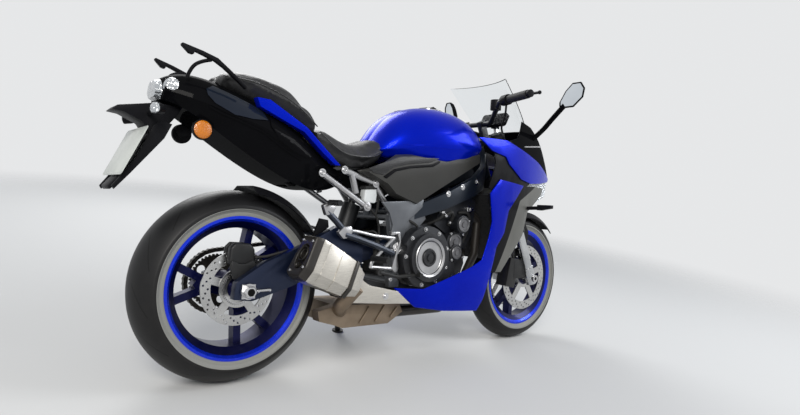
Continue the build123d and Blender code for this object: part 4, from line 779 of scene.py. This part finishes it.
# The cap: a black casting on the silencer's end, its face sunk in an oval round the outlet pipe's double ring and a
# smaller drain ring below, and four bolts at its corners. A steel sleeve joins it to the body.
CAP_BANDS = [
    # distance behind the body's end, half height, half width
    (0.029, 0.07, 0.051), (0.029, 0.0752, 0.0552), (0.05, 0.0725, 0.0525), (0.057, 0.069, 0.0492),
    (0.058, 0.064, 0.0445),
]
OVALS = [(0.0582, 0.044, 0.031), (0.056, 0.042, 0.029), (0.042, 0.04, 0.0275)]
SLEEVE = [(0.0002, 0.07, 0.051), (0.0002, 0.074, 0.054), (0.0284, 0.0744, 0.0544), (0.0284, 0.07, 0.051)]
OUTLET = muffler_point(0.057, 0.0, -0.01)
DRAIN = muffler_point(0.057, 0.004, 0.03)
CAP_RINGS = [
    # centre, steps round, section
    (OUTLET, 48, [(0.0255, -0.014), (0.0255, 0.001), (0.024, 0.0025), (0.0215, 0.001), (0.0215, -0.014)]),
    (OUTLET, 48, [(0.0175, -0.014), (0.0175, -0.0025), (0.016, -0.0015), (0.0145, -0.003), (0.0145, -0.014)]),
    (DRAIN, 32, [(0.0085, -0.01), (0.0085, 0.001), (0.007, 0.0015), (0.005, -0.001), (0.005, -0.01)]),
]
CAP_BOLTS = [(0.03, 0.052), (-0.036, 0.034), (-0.026, -0.054), (0.03, -0.054)]
ROUND_STEPS = 8


def cap_ring(distance, tall, wide, oval=False):
    """A ring of points about the silencer's axis, on its six-sided outline or on an oval within it."""
    ring = []
    for (a, b), (c, d) in zip(CORNERS, CORNERS[1:] + CORNERS[:1]):
        for step in range(ROUND_STEPS):
            share = step / ROUND_STEPS
            across, low = (a + (c - a) * share) * wide, (b + (d - b) * share) * tall
            if oval:
                turn = math.atan2(low / tall, across / wide)
                across, low = wide * math.cos(turn), tall * math.sin(turn)
            ring.append(muffler_point(distance, across, low))
    return ring


sleeve = broken_edges(lofted([cap_ring(*band) for band in SLEEVE]), 0.001)
fitted(sleeve, "muffler_sleeve", "exhaust_steel", brushed_steel)
cap = lofted([cap_ring(*band) for band in CAP_BANDS] + [cap_ring(*band, oval=True) for band in OVALS])
fitted(broken_edges(cap, 0.0015, 2, 40), "muffler_cap_cast", "black_plastic", cap_black, ("muffler_cap",))
rings = [turned(section, centre, steps, MUFFLER_WAY) for centre, steps, section in CAP_RINGS]
fitted(joined(rings), "muffler_outlet_rings", "steel", cap_black)


def bolts(places, way, head=0.007, tall=0.006, washer=0.0):
    """Socket-headed bolts standing on a face: each a turned head with a hole sunk into it, on a washer or not."""
    way = Vector(way).normalized()
    made = []
    for place in places:
        centre = Vector(place) / 1000
        section = [(0.0, -0.002), (head, -0.002), (head, tall * 0.8), (head * 0.86, tall), (head * 0.52, tall),
                   (head * 0.46, tall * 0.35), (0.0, tall * 0.35)]
        made.append(turned(section, centre, 14, way))
        if washer:
            section = [(head * 0.8, -0.001), (washer, -0.001), (washer * 0.97, 0.0015), (head * 0.8, 0.0018)]
            made.append(turned(section, centre, 20, way))
    return joined(made)


bright_steel = finish("bright plated steel", (0.5, 0.5, 0.51), (0.64, 0.64, 0.65), 0.22, 0.14, 1.0, grain=700.0,
                      blotch=18.0, dust=0.2)
cap_bolts = [muffler_point(0.056, across, low) * 1000 for across, low in CAP_BOLTS]
body_bolts = [bolts([(505, -196, 277)], (0, -1, 0), 0.0075, 0.006, 0.013),
              bolts([(384, -196, 372)], (0, -1, 0), 0.006, 0.006, 0.011)]
fitted(joined([bolts(cap_bolts, MUFFLER_WAY, 0.0048, 0.006)] + body_bolts), "muffler_bolts", "steel", bright_steel)

# The collector: a flat box of heat bronzed steel under the engine, black where the header pipes run into it, with
# three ribs pressed into its side.
PIPES_END = 0.64
RIBS = [((430, 178), (470, 234)), ((500, 178), (540, 234)), ((570, 190), (600, 224))]

chamber = broken_edges(flattened(dressed("exhaust_chamber")), 0.004, 3)
chamber = two_toned(chamber, bronzed_steel, cap_black, lambda centre, corners: centre.x > PIPES_END)
fitted(chamber, "exhaust_chamber_bronzed", "exhaust_steel", None, ("exhaust_chamber",), upright=False)
ribs = [hose([(x, -150, z) for x, z in rib], 0.0035, 2, 2) for rib in RIBS]
fitted(joined(ribs), "chamber_ribs", "exhaust_steel", bronzed_steel)

# The engine: a black cast block with bolted covers. The clutch cover carries a dished bright ring about a dark
# centre, and small round covers, pipes and plugs crowd the space in front of it.
CLUTCH = (0.696, 0, 0.415)
COVER_FACE = -0.196
CLUTCH_RING = [(0.0745, -0.212), (0.0745, -0.2175), (0.0725, -0.2192), (0.069, -0.218), (0.06, -0.2095),
               (0.035, -0.2085), (0.0335, -0.2065), (0.0335, -0.205), (0.06, -0.205)]
CLUTCH_CENTRE = [(0.0335, -0.205), (0.0335, -0.212), (0.031, -0.215), (0.024, -0.215), (0.0225, -0.2105),
                 (0.015, -0.2105), (0.0135, -0.216), (0.006, -0.2165), (0.0, -0.2165), (0.0, -0.205)]
ROUND_COVERS = [
    # place of the centre (x, z), face, radius
    (0.868, 0.472, -0.1715, 0.034),
    (0.868, 0.43, -0.1815, 0.026),
    (0.884, 0.545, -0.1995, 0.03),
]
CASE_BOLTS = 9
CASE_BOLT_CIRCLE = 0.107
CASE_BOLT_START = math.radians(18)
BLOCK_BOLTS = [(906, -172, 504), (838, -172, 506), (838, -172, 440), (900, -182, 412), (838, -182, 402),
               (930, -150, 560), (860, -150, 300), (800, -150, 290), (740, -150, 285), (912, -152, 345)]

cast_black = finish("black cast engine metal", (0.008, 0.009, 0.012), (0.018, 0.02, 0.025), 0.4, 0.25, 0.45,
                    grain=900.0, lift=0.45, blotch=14.0, dust=0.25)
bare_alloy = finish("satin bare alloy", (0.36, 0.36, 0.37), (0.5, 0.5, 0.51), 0.3, 0.2, 0.95, grain=1100.0,
                    lift=0.25, blotch=20.0, dust=0.25)
painted(cast_black, "engine_block")
rounded_off("engine_covers", "engine_covers_cast", "engine_black", cast_black, 0.003)
fitted(turned(CLUTCH_RING, CLUTCH, 72), "clutch_cover_ring", "bright_alloy", bare_alloy)
fitted(turned(CLUTCH_CENTRE, CLUTCH, 48), "clutch_cover_centre", "engine_black", cast_black)
small = []
for x, z, face, radius in ROUND_COVERS:
    ring = [(radius, face + 0.002), (radius, face - 0.003), (radius * 0.94, face - 0.0045),
            (radius * 0.8, face - 0.0045), (radius * 0.74, face - 0.0015), (radius * 0.4, face - 0.0015),
            (radius * 0.36, face - 0.005), (0.0, face - 0.005), (0.0, face + 0.002)]
    small.append(turned(ring, (x, 0, z), 40))
grey_cover = finish("grey cast cover", (0.1, 0.1, 0.105), (0.2, 0.2, 0.21), 0.34, 0.2, 0.85, grain=700.0,
                    lift=0.2, blotch=25.0, dust=0.2)
fitted(joined(small), "round_cover_faces", "bright_alloy", grey_cover)
around = []
for step in range(CASE_BOLTS):
    turn = CASE_BOLT_START + math.tau * step / CASE_BOLTS
    out = Vector((math.cos(turn), 0, math.sin(turn))) * CASE_BOLT_CIRCLE
    around.append((Vector(CLUTCH) + Vector((0, COVER_FACE, 0)) + out) * 1000)
case_bolts = bolts(around, (0, -1, 0), 0.0062, 0.007, 0.0085)
block_bolts = bolts(BLOCK_BOLTS, (0, -1, 0), 0.0055, 0.007)
fitted(joined([case_bolts, block_bolts]), "engine_bolts", "steel", bright_steel)

# Pipes and plugs beside the cylinders: black rubber hoses with worm clips, an oil filler and two bright senders.
# Seven short hoses fill the gaps between the engine, its covers and the frame.
HOSES = [
    # points, radius
    ([(800, -140, 560), (812, -172, 580), (834, -178, 596), (850, -172, 570), (846, -150, 540)], 0.008),
    ([(900, -150, 590), (930, -168, 600), (960, -160, 570), (958, -150, 520), (930, -150, 470)], 0.007),
    ([(760, -118, 540), (790, -165, 560), (800, -168, 600), (780, -140, 640)], 0.006),
    ([(620, -130, 560), (650, -160, 545), (676, -165, 520), (690, -150, 500)], 0.0055),
    ([(690, -124, 330), (650, -158, 310), (600, -158, 322), (575, -140, 360)], 0.006),
    ([(420, -100, 640), (452, -122, 600), (500, -128, 560), (520, -120, 500), (508, -128, 440)], 0.0045),
    ([(470, -96, 690), (500, -118, 650), (512, -116, 600), (500, -112, 560)], 0.005),
]
CLIP = [(0.0075, -0.004), (0.0095, -0.004), (0.0095, 0.004), (0.0075, 0.004)]
CLIPS = [
    # place, way of the hose
    ((0.812, -0.17, 0.579), (0.4, -0.6, 0.7)), ((0.846, -0.158, 0.552), (0, 0.3, -1)),
    ((0.957, -0.156, 0.56), (0, 0, -1)), ((0.796, -0.166, 0.59), (0, 0, 1)), ((0.655, -0.158, 0.312), (1, 0, 0)),
]
SENDER = [(0.0, -0.004), (0.013, -0.004), (0.013, 0.006), (0.01, 0.007), (0.01, 0.016), (0.006, 0.017),
          (0.006, 0.024), (0.0, 0.024)]
SENDERS = [(0.959, -0.148, 0.609), (0.858, -0.15, 0.345)]
FILLER = [(0.0, 0.0), (0.021, 0.0), (0.021, 0.01), (0.018, 0.014), (0.006, 0.014), (0.005, 0.02), (0.0, 0.02)]

rubber = finish("black rubber", (0.009, 0.009, 0.009), (0.016, 0.016, 0.016), 0.62, 0.2, grain=1200.0, lift=0.4,
                dust=0.25, shine=0.3)
fitted(joined([hose(*run) for run in HOSES]), "engine_hoses", "rubber", rubber)
clips = [turned(CLIP, place, 20, way) for place, way in CLIPS]
senders = [turned(SENDER, place, 12, (0, -1, 0)) for place in SENDERS]
fitted(joined(clips + senders), "engine_clips_and_sender", "steel", bright_steel)
fitted(turned(FILLER, (0.65, -0.15, 0.5), 24, (0, -1, 0.3)), "oil_filler", "black_plastic", rubber)

# The radiator behind the cowls. Its fins are too fine to model, so they are a level grain drawn out across the
# whole of it.
fins = finish("radiator fins", (0.012, 0.012, 0.013), (0.05, 0.05, 0.052), 0.5, 0.2, 0.4, grain=240.0, lift=0.8,
              blotch=90.0, dust=0.2, stretch=(1, 1, 8))
painted(fins, "radiator")

# The frame: two deep cast beams down to the pivot plates, dark blue-grey, with bright bolts. The right pivot plate
# is a bare casting with a raised face, and the swingarm turns on a large ringed bolt through it.
CASTING = [(493, 615), (612, 625), (670, 631), (699, 636), (698, 607), (649, 567), (618, 546), (613, 502),
           (599, 465), (590, 420), (582, 378), (560, 372), (552, 420), (538, 470), (552, 530), (530, 580)]
PLATE_FRONT = 0.65
PLATE_TOP = 0.585
PIVOT_RING = [(0.0, -0.156), (0.0235, -0.156), (0.0235, -0.165), (0.0215, -0.1675), (0.0165, -0.1675),
              (0.0145, -0.164), (0.0, -0.164)]
PIVOT_BOLTS = [(560, -151, 570), (556, -151, 330), (590, -151, 380), (600, -151, 560)]

frame_paint = finish("dark blue grey frame paint", (0.008, 0.012, 0.02), (0.014, 0.02, 0.03), 0.34, 0.12, 0.5,
                     grain=900.0, lift=0.2, dust=0.1)
pivot_cast = finish("grey pivot casting", (0.105, 0.112, 0.125), (0.16, 0.168, 0.18), 0.36, 0.15, 0.6, grain=900.0,
                    lift=0.35, blotch=12.0, dust=0.15)
beams = broken_edges(flattened(dressed("main_frame"), 0.5), 0.005, 3)
beams = two_toned(beams, frame_paint, pivot_cast, lambda centre, corners: (
    centre.x < PLATE_FRONT and centre.z < PLATE_TOP and centre.y < 0))
fitted(beams, "main_frame_cast", "frame_metal", None, ("main_frame",), upright=False)
casting = slab(CASTING, -0.1505, -0.1575, 0.003, cuts=1, segments=3)
fitted(casting, "pivot_casting", "frame_metal", pivot_cast)
pivot = joined([turned(PIVOT_RING, (0.574, 0, 0.447), 40),
                bolts([(574, -164, 447)], (0, -1, 0), 0.0085, 0.004),
                bolts([(884, -181, 696), (806, -181, 664), (968, -178, 724)], (0, -1, 0), 0.009, 0.005, 0.0125),
                bolts(PIVOT_BOLTS, (0, -1, 0), 0.0075, 0.006)])
fitted(pivot, "frame_bolts", "steel", bright_steel)

# The rear frame: thin bright tubes welded to lugs and bolted to the beams. The rear brake's fluid reservoir hangs
# beside them, of milky plastic with a black lid.
RESERVOIR = [(432, 616), (436, 656), (486, 660), (489, 640), (487, 614), (480, 608), (440, 608)]
RESERVOIR_LID = [(434, 657), (434, 668), (486, 672), (488, 661)]
TUBE_BOLTS = [(480, -133, 681), (446, -133, 594), (340, -133, 718), (250, -133, 700), (556, -148, 584)]

rounded_off("rear_subframe", "rear_frame_tubes", "steel", bare_alloy, 0.001, 2, 0.3)
fitted(bolts(TUBE_BOLTS, (0, -1, 0), 0.009, 0.008, 0.0145), "rear_frame_bolts", "steel", bright_steel)
milky = finish("milky reservoir plastic", (0.5, 0.52, 0.52), (0.62, 0.64, 0.64), 0.35, 0.1, grain=300.0,
               blotch=12.0)
fitted(slab(RESERVOIR, -0.132, -0.1, 0.004, segments=3), "brake_fluid_reservoir", "clear_lens", milky)
fitted(slab(RESERVOIR_LID, -0.134, -0.098, 0.002), "brake_fluid_lid", "black_plastic", rubber)

# The footrests: forged openwork hangers of dark and bright arms, with a heel plate, folding pegs and a forged
# pedal. The bright arms and plates take the place of the solid hangers.
HEEL_PLATE = [(534, 494), (562, 500), (572, 472), (560, 440), (548, 400), (540, 372), (562, 352), (574, 372),
              (566, 420), (580, 470), (572, 508), (530, 508)]
REAR_LUG = [(300, 500), (322, 520), (352, 524), (362, 508), (350, 484), (322, 478)]
TOP_LUG = [(238, 590), (262, 600), (290, 586), (278, 560), (252, 556)]

forged_dark = finish("dark forged alloy", (0.016, 0.02, 0.03), (0.03, 0.036, 0.05), 0.32, 0.15, 0.6, grain=900.0,
                     lift=0.2, dust=0.1)
arms = joined([hose([(330, -168, 494), (380, -168, 482), (470, -168, 456), (552, -164, 428)], 0.013, order=2),
               hose([(258, -161, 572), (300, -163, 536), (330, -165, 506)], 0.0115, order=2)])
fitted(both_sides(arms), "hanger_dark_arms", "frame_metal", forged_dark)
bright = joined([
    hose([(322, -168, 510), (380, -168, 506), (458, -168, 492), (556, -166, 484)], 0.0065, order=2),
    hose([(556, -166, 486), (500, -168, 440), (452, -170, 396), (448, -170, 376)], 0.007, order=2),
    hose([(448, -170, 380), (500, -170, 376), (556, -168, 372)], 0.0075, order=2),
    slab(HEEL_PLATE, -0.178, -0.158, 0.003),
    slab(REAR_LUG, -0.178, -0.158, 0.004),
    slab(TOP_LUG, -0.172, -0.15, 0.004),
])
fitted(both_sides(bright), "hanger_bright_arms", "bright_alloy", bare_alloy, ("footrest_hangers",))
peg_black = finish("black powder coat", (0.007, 0.008, 0.009), (0.014, 0.015, 0.017), 0.38, 0.2, 0.25,
                   grain=1800.0, lift=0.3, dust=0.25, shine=0.3)
painted(peg_black, "footpegs_pedals")

# The seats: foam pads under black grained vinyl, crowned across and pulled down at their edges, where a piped seam
# closes the cover. The rider's is scooped and narrows to the tank, and the pillion's stands higher behind it.
SEATS = [
    # node, rows of the piping (x, height, half width)
    ("rider_seat",
     [(234, 838, 129), (300, 771, 152), (400, 768, 152), (470, 778, 131), (530, 801, 94), (566, 820, 66)]),
    ("pillion_seat",
     [(-92, 966, 96), (-20, 965, 121), (60, 946, 125), (120, 926, 127), (190, 886, 123), (232, 856, 113)]),
]
SKIN_LET_IN = 0.005
MOST_SWELLING = 0.0085
FOAM_FRAMES = 20
PIPING = 0.0023
# The pillion's crown is lowered by so much along its length, above an edge that slopes down forwards.
CROWN_LOWERED = [(-0.13, 0.008), (-0.06, 0.014), (0.0, 0.021), (0.067, 0.027), (0.14, 0.018), (0.184, 0.022),
                 (0.26, 0.012)]
CROWN_EDGE = 0.957
EDGE_SLOPE = 0.3
CROWN_BLEND = 0.03

seat_vinyl = finish("black seat vinyl", (0.0085, 0.0085, 0.009), (0.014, 0.014, 0.015), 0.46, 0.15, grain=1300.0,
                    lift=0.55, dust=0.06, shine=0.35)
seam_black = finish("black seam piping", (0.006, 0.006, 0.006), (0.01, 0.01, 0.01), 0.4, 0.1, grain=1500.0,
                    lift=0.3)
for node, piping in SEATS:
    pad = dressed(node)
    with editing(pad):
        bpy.ops.transform.shrink_fatten(value=-SKIN_LET_IN)
    if node == "pillion_seat":
        for vertex in pad.data.vertices:
            place = TO_UPRIGHT @ vertex.co
            if CROWN_LOWERED[0][0] <= place.x < CROWN_LOWERED[-1][0]:
                edge = CROWN_EDGE - max(0.0, place.x) * EDGE_SLOPE
                place.z -= read_off(CROWN_LOWERED, place.x) * min(max((place.z - edge) / CROWN_BLEND, 0.0), 1.0)
            vertex.co = STANDING @ place
    worked(pad, "REMESH", mode="VOXEL", voxel_size=0.006)
    before = [vertex.co.copy() for vertex in pad.data.vertices]
    take_up(pad)
    foam = pad.modifiers.new("foam", "CLOTH")
    foam.settings.quality = 4
    foam.settings.use_pressure = True
    foam.settings.uniform_pressure_force = 4
    foam.settings.effector_weights.gravity = 0
    foam.point_cache.frame_start = 1
    foam.point_cache.frame_end = FOAM_FRAMES
    for moment in range(1, FOAM_FRAMES + 1):
        bpy.context.scene.frame_set(moment)
    bpy.ops.object.modifier_apply(modifier="foam")
    bpy.context.scene.frame_set(1)
    for vertex, start in zip(pad.data.vertices, before):
        step = vertex.co - start
        if step.length > MOST_SWELLING:
            vertex.co = start + step * (MOST_SWELLING / step.length)
    worked(pad, "SMOOTH", factor=0.5, iterations=3)
    worked(pad, "SUBSURF", levels=1, render_levels=1)
    fitted(pad, node + "_pad", "seat_vinyl", seat_vinyl, (node,), smooth=60, upright=False)
    welt = hose([(x, -half, z) for x, z, half in piping], PIPING, 2)
    fitted(both_sides(welt), node + "_piping", "seat_vinyl", seam_black)

# The tank: a pressed steel shell, lacquered blue, with a crease along each flank, and a hinged black filler cap in
# a bright ring.
FLANK_CREASE = [(600, 838), (700, 850), (820, 856), (930, 868), (1010, 884), (1036, 900), (1000, 872), (930, 853),
                (820, 843), (700, 838)]

tank = worked(flattened(dressed("fuel_tank"), 0.2), "WEIGHTED_NORMAL", keep_sharp=True)
fitted(tank, "fuel_tank_lacquered", "blue_paint", blue_lacquer, ("fuel_tank",), smooth=50, upright=False)
painted(bright_steel, "filler_ring")
painted(gloss_black, "fuel_cap")
crease = pressed_on(filled(FLANK_CREASE, -0.25), "fuel_tank", 0.0008, 0.0014)
fitted(both_sides(crease), "tank_flank_creases", "blue_paint", blue_lacquer)

# The side covers under the tank: dark grey mouldings with a black step across them. Behind the step the surface is
# moulded with a fine chequered weave.
STEP = [(486, 706), (534, 738), (609, 757), (719, 773), (758, 790), (764, 784), (726, 764), (613, 748), (542, 730),
        (500, 700)]
WEAVE = [(420, 730), (470, 750), (560, 786), (640, 792), (760, 800), (716, 780), (606, 763), (531, 744), (484, 712),
         (440, 716)]

cover_grey = finish("grey side cover moulding", (0.022, 0.022, 0.021), (0.046, 0.045, 0.041), 0.4, 0.15,
                    grain=1300.0, lift=0.2, blotch=3.0, dust=0.06, shine=0.25)
rounded_off("tank_side_covers", "tank_side_covers_moulded", "black_plastic", cover_grey, 0.006)
fitted(both_sides(slab(STEP, -0.1705, -0.164, 0.0018)), "side_cover_steps", "black_plastic", satin_moulding)
woven = finish("chequered moulding", (0.01, 0.01, 0.011), (0.02, 0.02, 0.022), 0.4, 0.1, grain=900.0, dust=0.05)
embossed(woven, "TexChecker", "Fac", 190.0, 0.9, 0.0015, turn=38)
fitted(both_sides(slab(WEAVE, -0.1685, -0.164, 0.001)), "side_cover_weave", "black_plastic", woven)

# The axles, nuts and chain adjusters: plated steel. The rear axle's end is hollow inside its nut, and a near black
# disc set in it is painted shade. A long screw in each end of the swingarm sets the chain's tension.
AXLE_NUT = [(0.0125, -0.153), (0.0205, -0.153), (0.021, -0.169), (0.018, -0.1725), (0.0128, -0.1725),
            (0.0122, -0.169)]
WASHER = [(0.012, -0.1528), (0.0245, -0.1528), (0.0245, -0.1556), (0.012, -0.1556)]
LOCK_NUT = [(0.0, 0.0), (0.007, 0.0), (0.007, 0.006), (0.0, 0.006)]
SCREW_HEAD = [(0.0, 0.0), (0.006, 0.0), (0.006, 0.005), (0.0, 0.005)]
BORE_SHADE_DISC = [(0.0, -0.1725), (0.0121, -0.1725), (0.0121, -0.17), (0.0, -0.169)]

painted(bright_steel, "front_axle", "rear_axle")
axle_nut = turned(AXLE_NUT, REAR_AXLE, 6)
washer = turned(WASHER, REAR_AXLE, 40)
screws = joined([hose([(20, -148, 311), (74, -146, 312)], 0.0035, 2, 2),
                 turned(LOCK_NUT, (0.03, -0.148, 0.311), 6, (1, 0, 0)),
                 turned(SCREW_HEAD, (0.071, -0.146, 0.312), 6, (1, 0, 0))])
fitted(joined([axle_nut, washer, both_sides(screws)]), "rear_axle_nut", "steel", bright_steel)
# A near black disc in the axle's hollow end, as painted shade.
axle_hollow_painted_shade = finish("painted shade in the axle's hollow", (0.0015, 0.0015, 0.0018), (0.003, 0.003, 0.003), 0.6, 0.1, grain=400.0,
                   shine=0.1)
fitted(turned(BORE_SHADE_DISC, REAR_AXLE, 24), "rear_axle_bore_painted_shade", "steel", axle_hollow_painted_shade)

# The brake discs: ground steel rings, drilled for cooling, on bright carriers, and the toothed ring that the
# wheel speed sensor reads.
TEETH = 48
TOOTH_SIZE = (0.006, 0.002, 0.0034)
TOOTH_RADIUS = 0.051
TEETH_ACROSS = -0.0775
SENSOR_RING = [(0.045, -0.0765), (0.0485, -0.0765), (0.0485, -0.0785), (0.045, -0.0785)]

disc_steel = finish("ground disc steel", (0.42, 0.42, 0.42), (0.56, 0.56, 0.55), 0.26, 0.2, 1.0, grain=500.0,
                    blotch=16.0, dust=0.15)
painted(disc_steel, "front_discs", "rear_disc")
teeth = []
for tooth in range(TEETH):
    turn = math.tau * tooth / TEETH
    place = REAR_AXLE + Vector((math.cos(turn) * TOOTH_RADIUS, TEETH_ACROSS, math.sin(turn) * TOOTH_RADIUS))
    deselected()
    bpy.ops.mesh.primitive_cube_add(size=1, location=place, rotation=(0, -turn, 0), scale=TOOTH_SIZE)
    teeth.append(bpy.context.object)
ring = joined([turned(SENSOR_RING, REAR_AXLE, 64)] + teeth)
fitted(ring, "rear_sensor_ring", "steel", bright_steel, body="rear_wheel")

# The sprocket and chain: hardened steel, oiled and dusty. The chain is one plain closed loop, and its rough finish
# stands for its links.
chain_steel = finish("oiled chain steel", (0.02, 0.018, 0.016), (0.06, 0.054, 0.046), 0.42, 0.3, 0.8, grain=1500.0,
                     lift=0.5, blotch=60.0, dust=0.2)
painted(chain_steel, "rear_sprocket", "chain")

# The calipers: black coated castings bolted up behind the forks, and one on its bracket above the rear axle, built
# of two halves with a bridge between them.
CALIPER = [(-42, 388), (34, 386), (40, 402), (37, 438), (22, 455), (-28, 457), (-43, 442), (-46, 404)]
BRIDGE = [(-30, 437), (26, 437), (24, 454), (-28, 455)]
BRACKET = [(-34, 344), (22, 344), (42, 386), (30, 404), (6, 392), (-16, 392), (-40, 402), (-44, 380)]

coated_black = finish("black powder coat", (0.007, 0.008, 0.009), (0.014, 0.015, 0.017), 0.38, 0.2, 0.25,
                      grain=1800.0, lift=0.3, dust=0.2, shine=0.3)
rounded_off("front_calipers", "front_calipers_cast", "black_plastic", coated_black, 0.006, body="steering")
rear_caliper = joined([
    slab(CALIPER, -0.104, -0.076, 0.007, segments=3), slab(CALIPER, -0.06, -0.046, 0.004, segments=3),
    slab(BRIDGE, -0.084, -0.05, 0.003), slab(BRACKET, -0.1125, -0.101, 0.003, segments=3),
])
fitted(rear_caliper, "rear_caliper_cast", "black_plastic", coated_black, ("rear_caliper",))

# The swingarm: a welded and cast alloy arm in the frame's dark colour, with rounded edges. The black hugger is
# screwed to it over the tyre.
arm_paint = finish("dark blue swingarm paint", (0.006, 0.012, 0.034), (0.01, 0.018, 0.048), 0.3, 0.1, 0.55,
                   grain=900.0, lift=0.1, dust=0.08)
rounded_off("swingarm", "swingarm_cast", "frame_metal", arm_paint, 0.005)
rounded_off("rear_hugger", "rear_hugger_moulded", "black_plastic", satin_moulding, 0.002, 2)

# The shock absorber between the swingarm and the frame, and the side stand with its bracket: plain black coated
# steel, whose shapes need nothing added.
painted(coated_black, "rear_shock", "side_stand", "stand_bracket")

# The fork: black telescopic tubes in bolted clamps, with bright lower legs, and the pressed bar on top with its
# controls, grips and hoses. The instrument panel behind the screen is rounded with them.
fork_chrome = finish("hard chromed fork leg", (0.44, 0.45, 0.46), (0.6, 0.61, 0.62), 0.14, 0.08, 1.0, grain=400.0,
                     blotch=14.0, dust=0.12)
for node, slot, material, width, body in (
    ("fork_legs", "chrome", fork_chrome, 0.002, "steering"),
    ("fork_clamps", "black_plastic", coated_black, 0.003, "steering"),
    ("instrument_panel", "black_plastic", satin_moulding, 0.004, "chassis"),
    ("hand_controls", "black_plastic", satin_moulding, 0.003, "steering"),
):
    rounded_off(node, node + "_finished", slot, material, width, body=body)
painted(coated_black, "fork_tubes", "handlebar")
painted(rubber, "grips", "front_brake_hoses", "rear_brake_hose")

# The front mudguard: a satin black moulding hugging the tyre, stayed to the fork legs. It turns with the steering.
rounded_off("front_mudguard", "front_mudguard_moulded", "black_plastic", satin_moulding, 0.0012, 2,
            body="steering")

# The side cowls: one blue sweep each side from below the tank down to the belly. Their edges are rolled over, so
# they show no sharp corner.
rounded_off("side_cowls", "side_cowls_lacquered", "blue_paint", blue_lacquer, 0.004, smooth=50)

# The upper cowl: the blue blade each side that runs from the tank to the nose, over a dark cockpit moulding with a
# thin bright trim. The inner panels are silver grey in front and black behind two sloping lines.
PANEL_LINES = [(0.515, 0.875), (2.25, -0.27)]
PANEL_BLACK = (0.004, 0.004, 0.005, 1)

rounded_off("nose_cowl", "nose_cowl_lacquered", "blue_paint", blue_lacquer, 0.003, smooth=50)
rounded_off("cockpit_panels", "cockpit_panels_moulded", "black_plastic", gloss_black, 0.003, smooth=50)
silver_grey = finish("silver grey moulding", (0.12, 0.12, 0.11), (0.17, 0.17, 0.158), 0.42, 0.15, 0.4,
                     grain=1200.0, lift=0.15, dust=0.02, shine=0.06)
tree = silver_grey.node_tree
shader = tree.nodes["Principled BSDF"]
x, y, z = split(tree, mapped(tree, TO_UPRIGHT.translation, TO_UPRIGHT.to_euler()))
low_line, high_line = (figured(tree, "MULTIPLY_ADD", z, *line) for line in PANEL_LINES)
behind = figured(tree, "LESS_THAN", x, figured(tree, "MAXIMUM", low_line, high_line))
silver = shader.inputs["Base Color"].links[0].from_socket
fed(tree, shader.inputs["Base Color"], blended(tree, behind, silver, PANEL_BLACK))
fed(tree, shader.inputs["Metallic"], figured(tree, "MULTIPLY_ADD", behind, -0.4, 0.4))
rounded_off("cowl_inner_panels", "cowl_inner_panels_moulded", "black_plastic", silver_grey, 0.002, 2, smooth=50)
trim = hose([(1232, -207, 899), (1330, -179, 912), (1428, -147, 925)], 0.0035)
fitted(both_sides(trim), "cockpit_trim", "bright_alloy", bare_alloy)

# The screen: a clear acrylic sheet, curved across, screwed to the cockpit moulding. Fine scratches roughen it a
# little in patches.
clear_screen, tree, shader = new_material("clear screen acrylic")
scratches = figured(tree, "MULTIPLY_ADD", cloudy(tree, mapped(tree), 60.0, 3.0), 0.04, 0.01)
fed(tree, shader.inputs["Roughness"], scratches)
shader.inputs["Base Color"].default_value = (0.94, 0.96, 0.97, 1)
shader.inputs["Transmission Weight"].default_value = 1.0
shader.inputs["IOR"].default_value = 1.12
painted(clear_screen, "windscreen")

# The mirrors: silvered glass in black cases on long arms from the cowl. Each case is lofted from its outline,
# drawn in towards its back.
MIRROR = Vector((1.324, -0.369, 1.134))
MIRROR_ACROSS = Vector((0.26, -0.966, 0))
MIRROR_BACK = Vector((0.966, 0.26, 0))
MIRROR_MIDDLE = (3.0, -8.0)
MIRROR_EDGE = [(-51, -39), (-26, 10), (4, 44), (40, 46), (56, 20), (50, -19), (10, -60), (-33, -63), (-50, -56)]
CASE_STEPS = [
    # share of the outline, depth
    (0.88, 0.006), (0.9, -0.001), (0.96, -0.003), (1.0, 0.0), (0.99, 0.01), (0.86, 0.024), (0.55, 0.032),
]
GLASS_STEPS = [(0.885, 0.003), (0.885, 0.001)]

mirror_silver = finish("mirror silver", (0.62, 0.66, 0.7), (0.74, 0.78, 0.82), 0.03, 0.02, 1.0, grain=30.0)


def mirror_ring(share, depth):
    """The mirror's outline drawn in towards its middle, at a depth behind the glass."""
    ring = []
    for edge in MIRROR_EDGE:
        across, high = ((middle + (place - middle) * share) / 1000 for middle, place in zip(MIRROR_MIDDLE, edge))
        ring.append(MIRROR + MIRROR_ACROSS * across + Vector((0, 0, high)) + MIRROR_BACK * depth)
    return ring


case = broken_edges(lofted([mirror_ring(*step) for step in CASE_STEPS]), 0.002)
arm = hose([(1346, -165, 952), (1362, -205, 990), (1346, -262, 1034), (1318, -342, 1082)], 0.0115, 4)
fitted(both_sides(joined([case, arm])), "mirror_cases", "black_plastic", gloss_black, ("mirrors",))
glass = lofted([mirror_ring(*step) for step in GLASS_STEPS])
fitted(both_sides(glass), "mirror_glass_silvered", "mirror", mirror_silver, ("mirror_glass",))

# The front lights: the headlamp's clear lens in the nose, and the direction signals, black stalks whose backs are
# all that the camera sees of them.
painted(lens_facets, "headlight")
rounded_off("front_signals", "front_signals_moulded", "amber_lens", satin_moulding, 0.004)
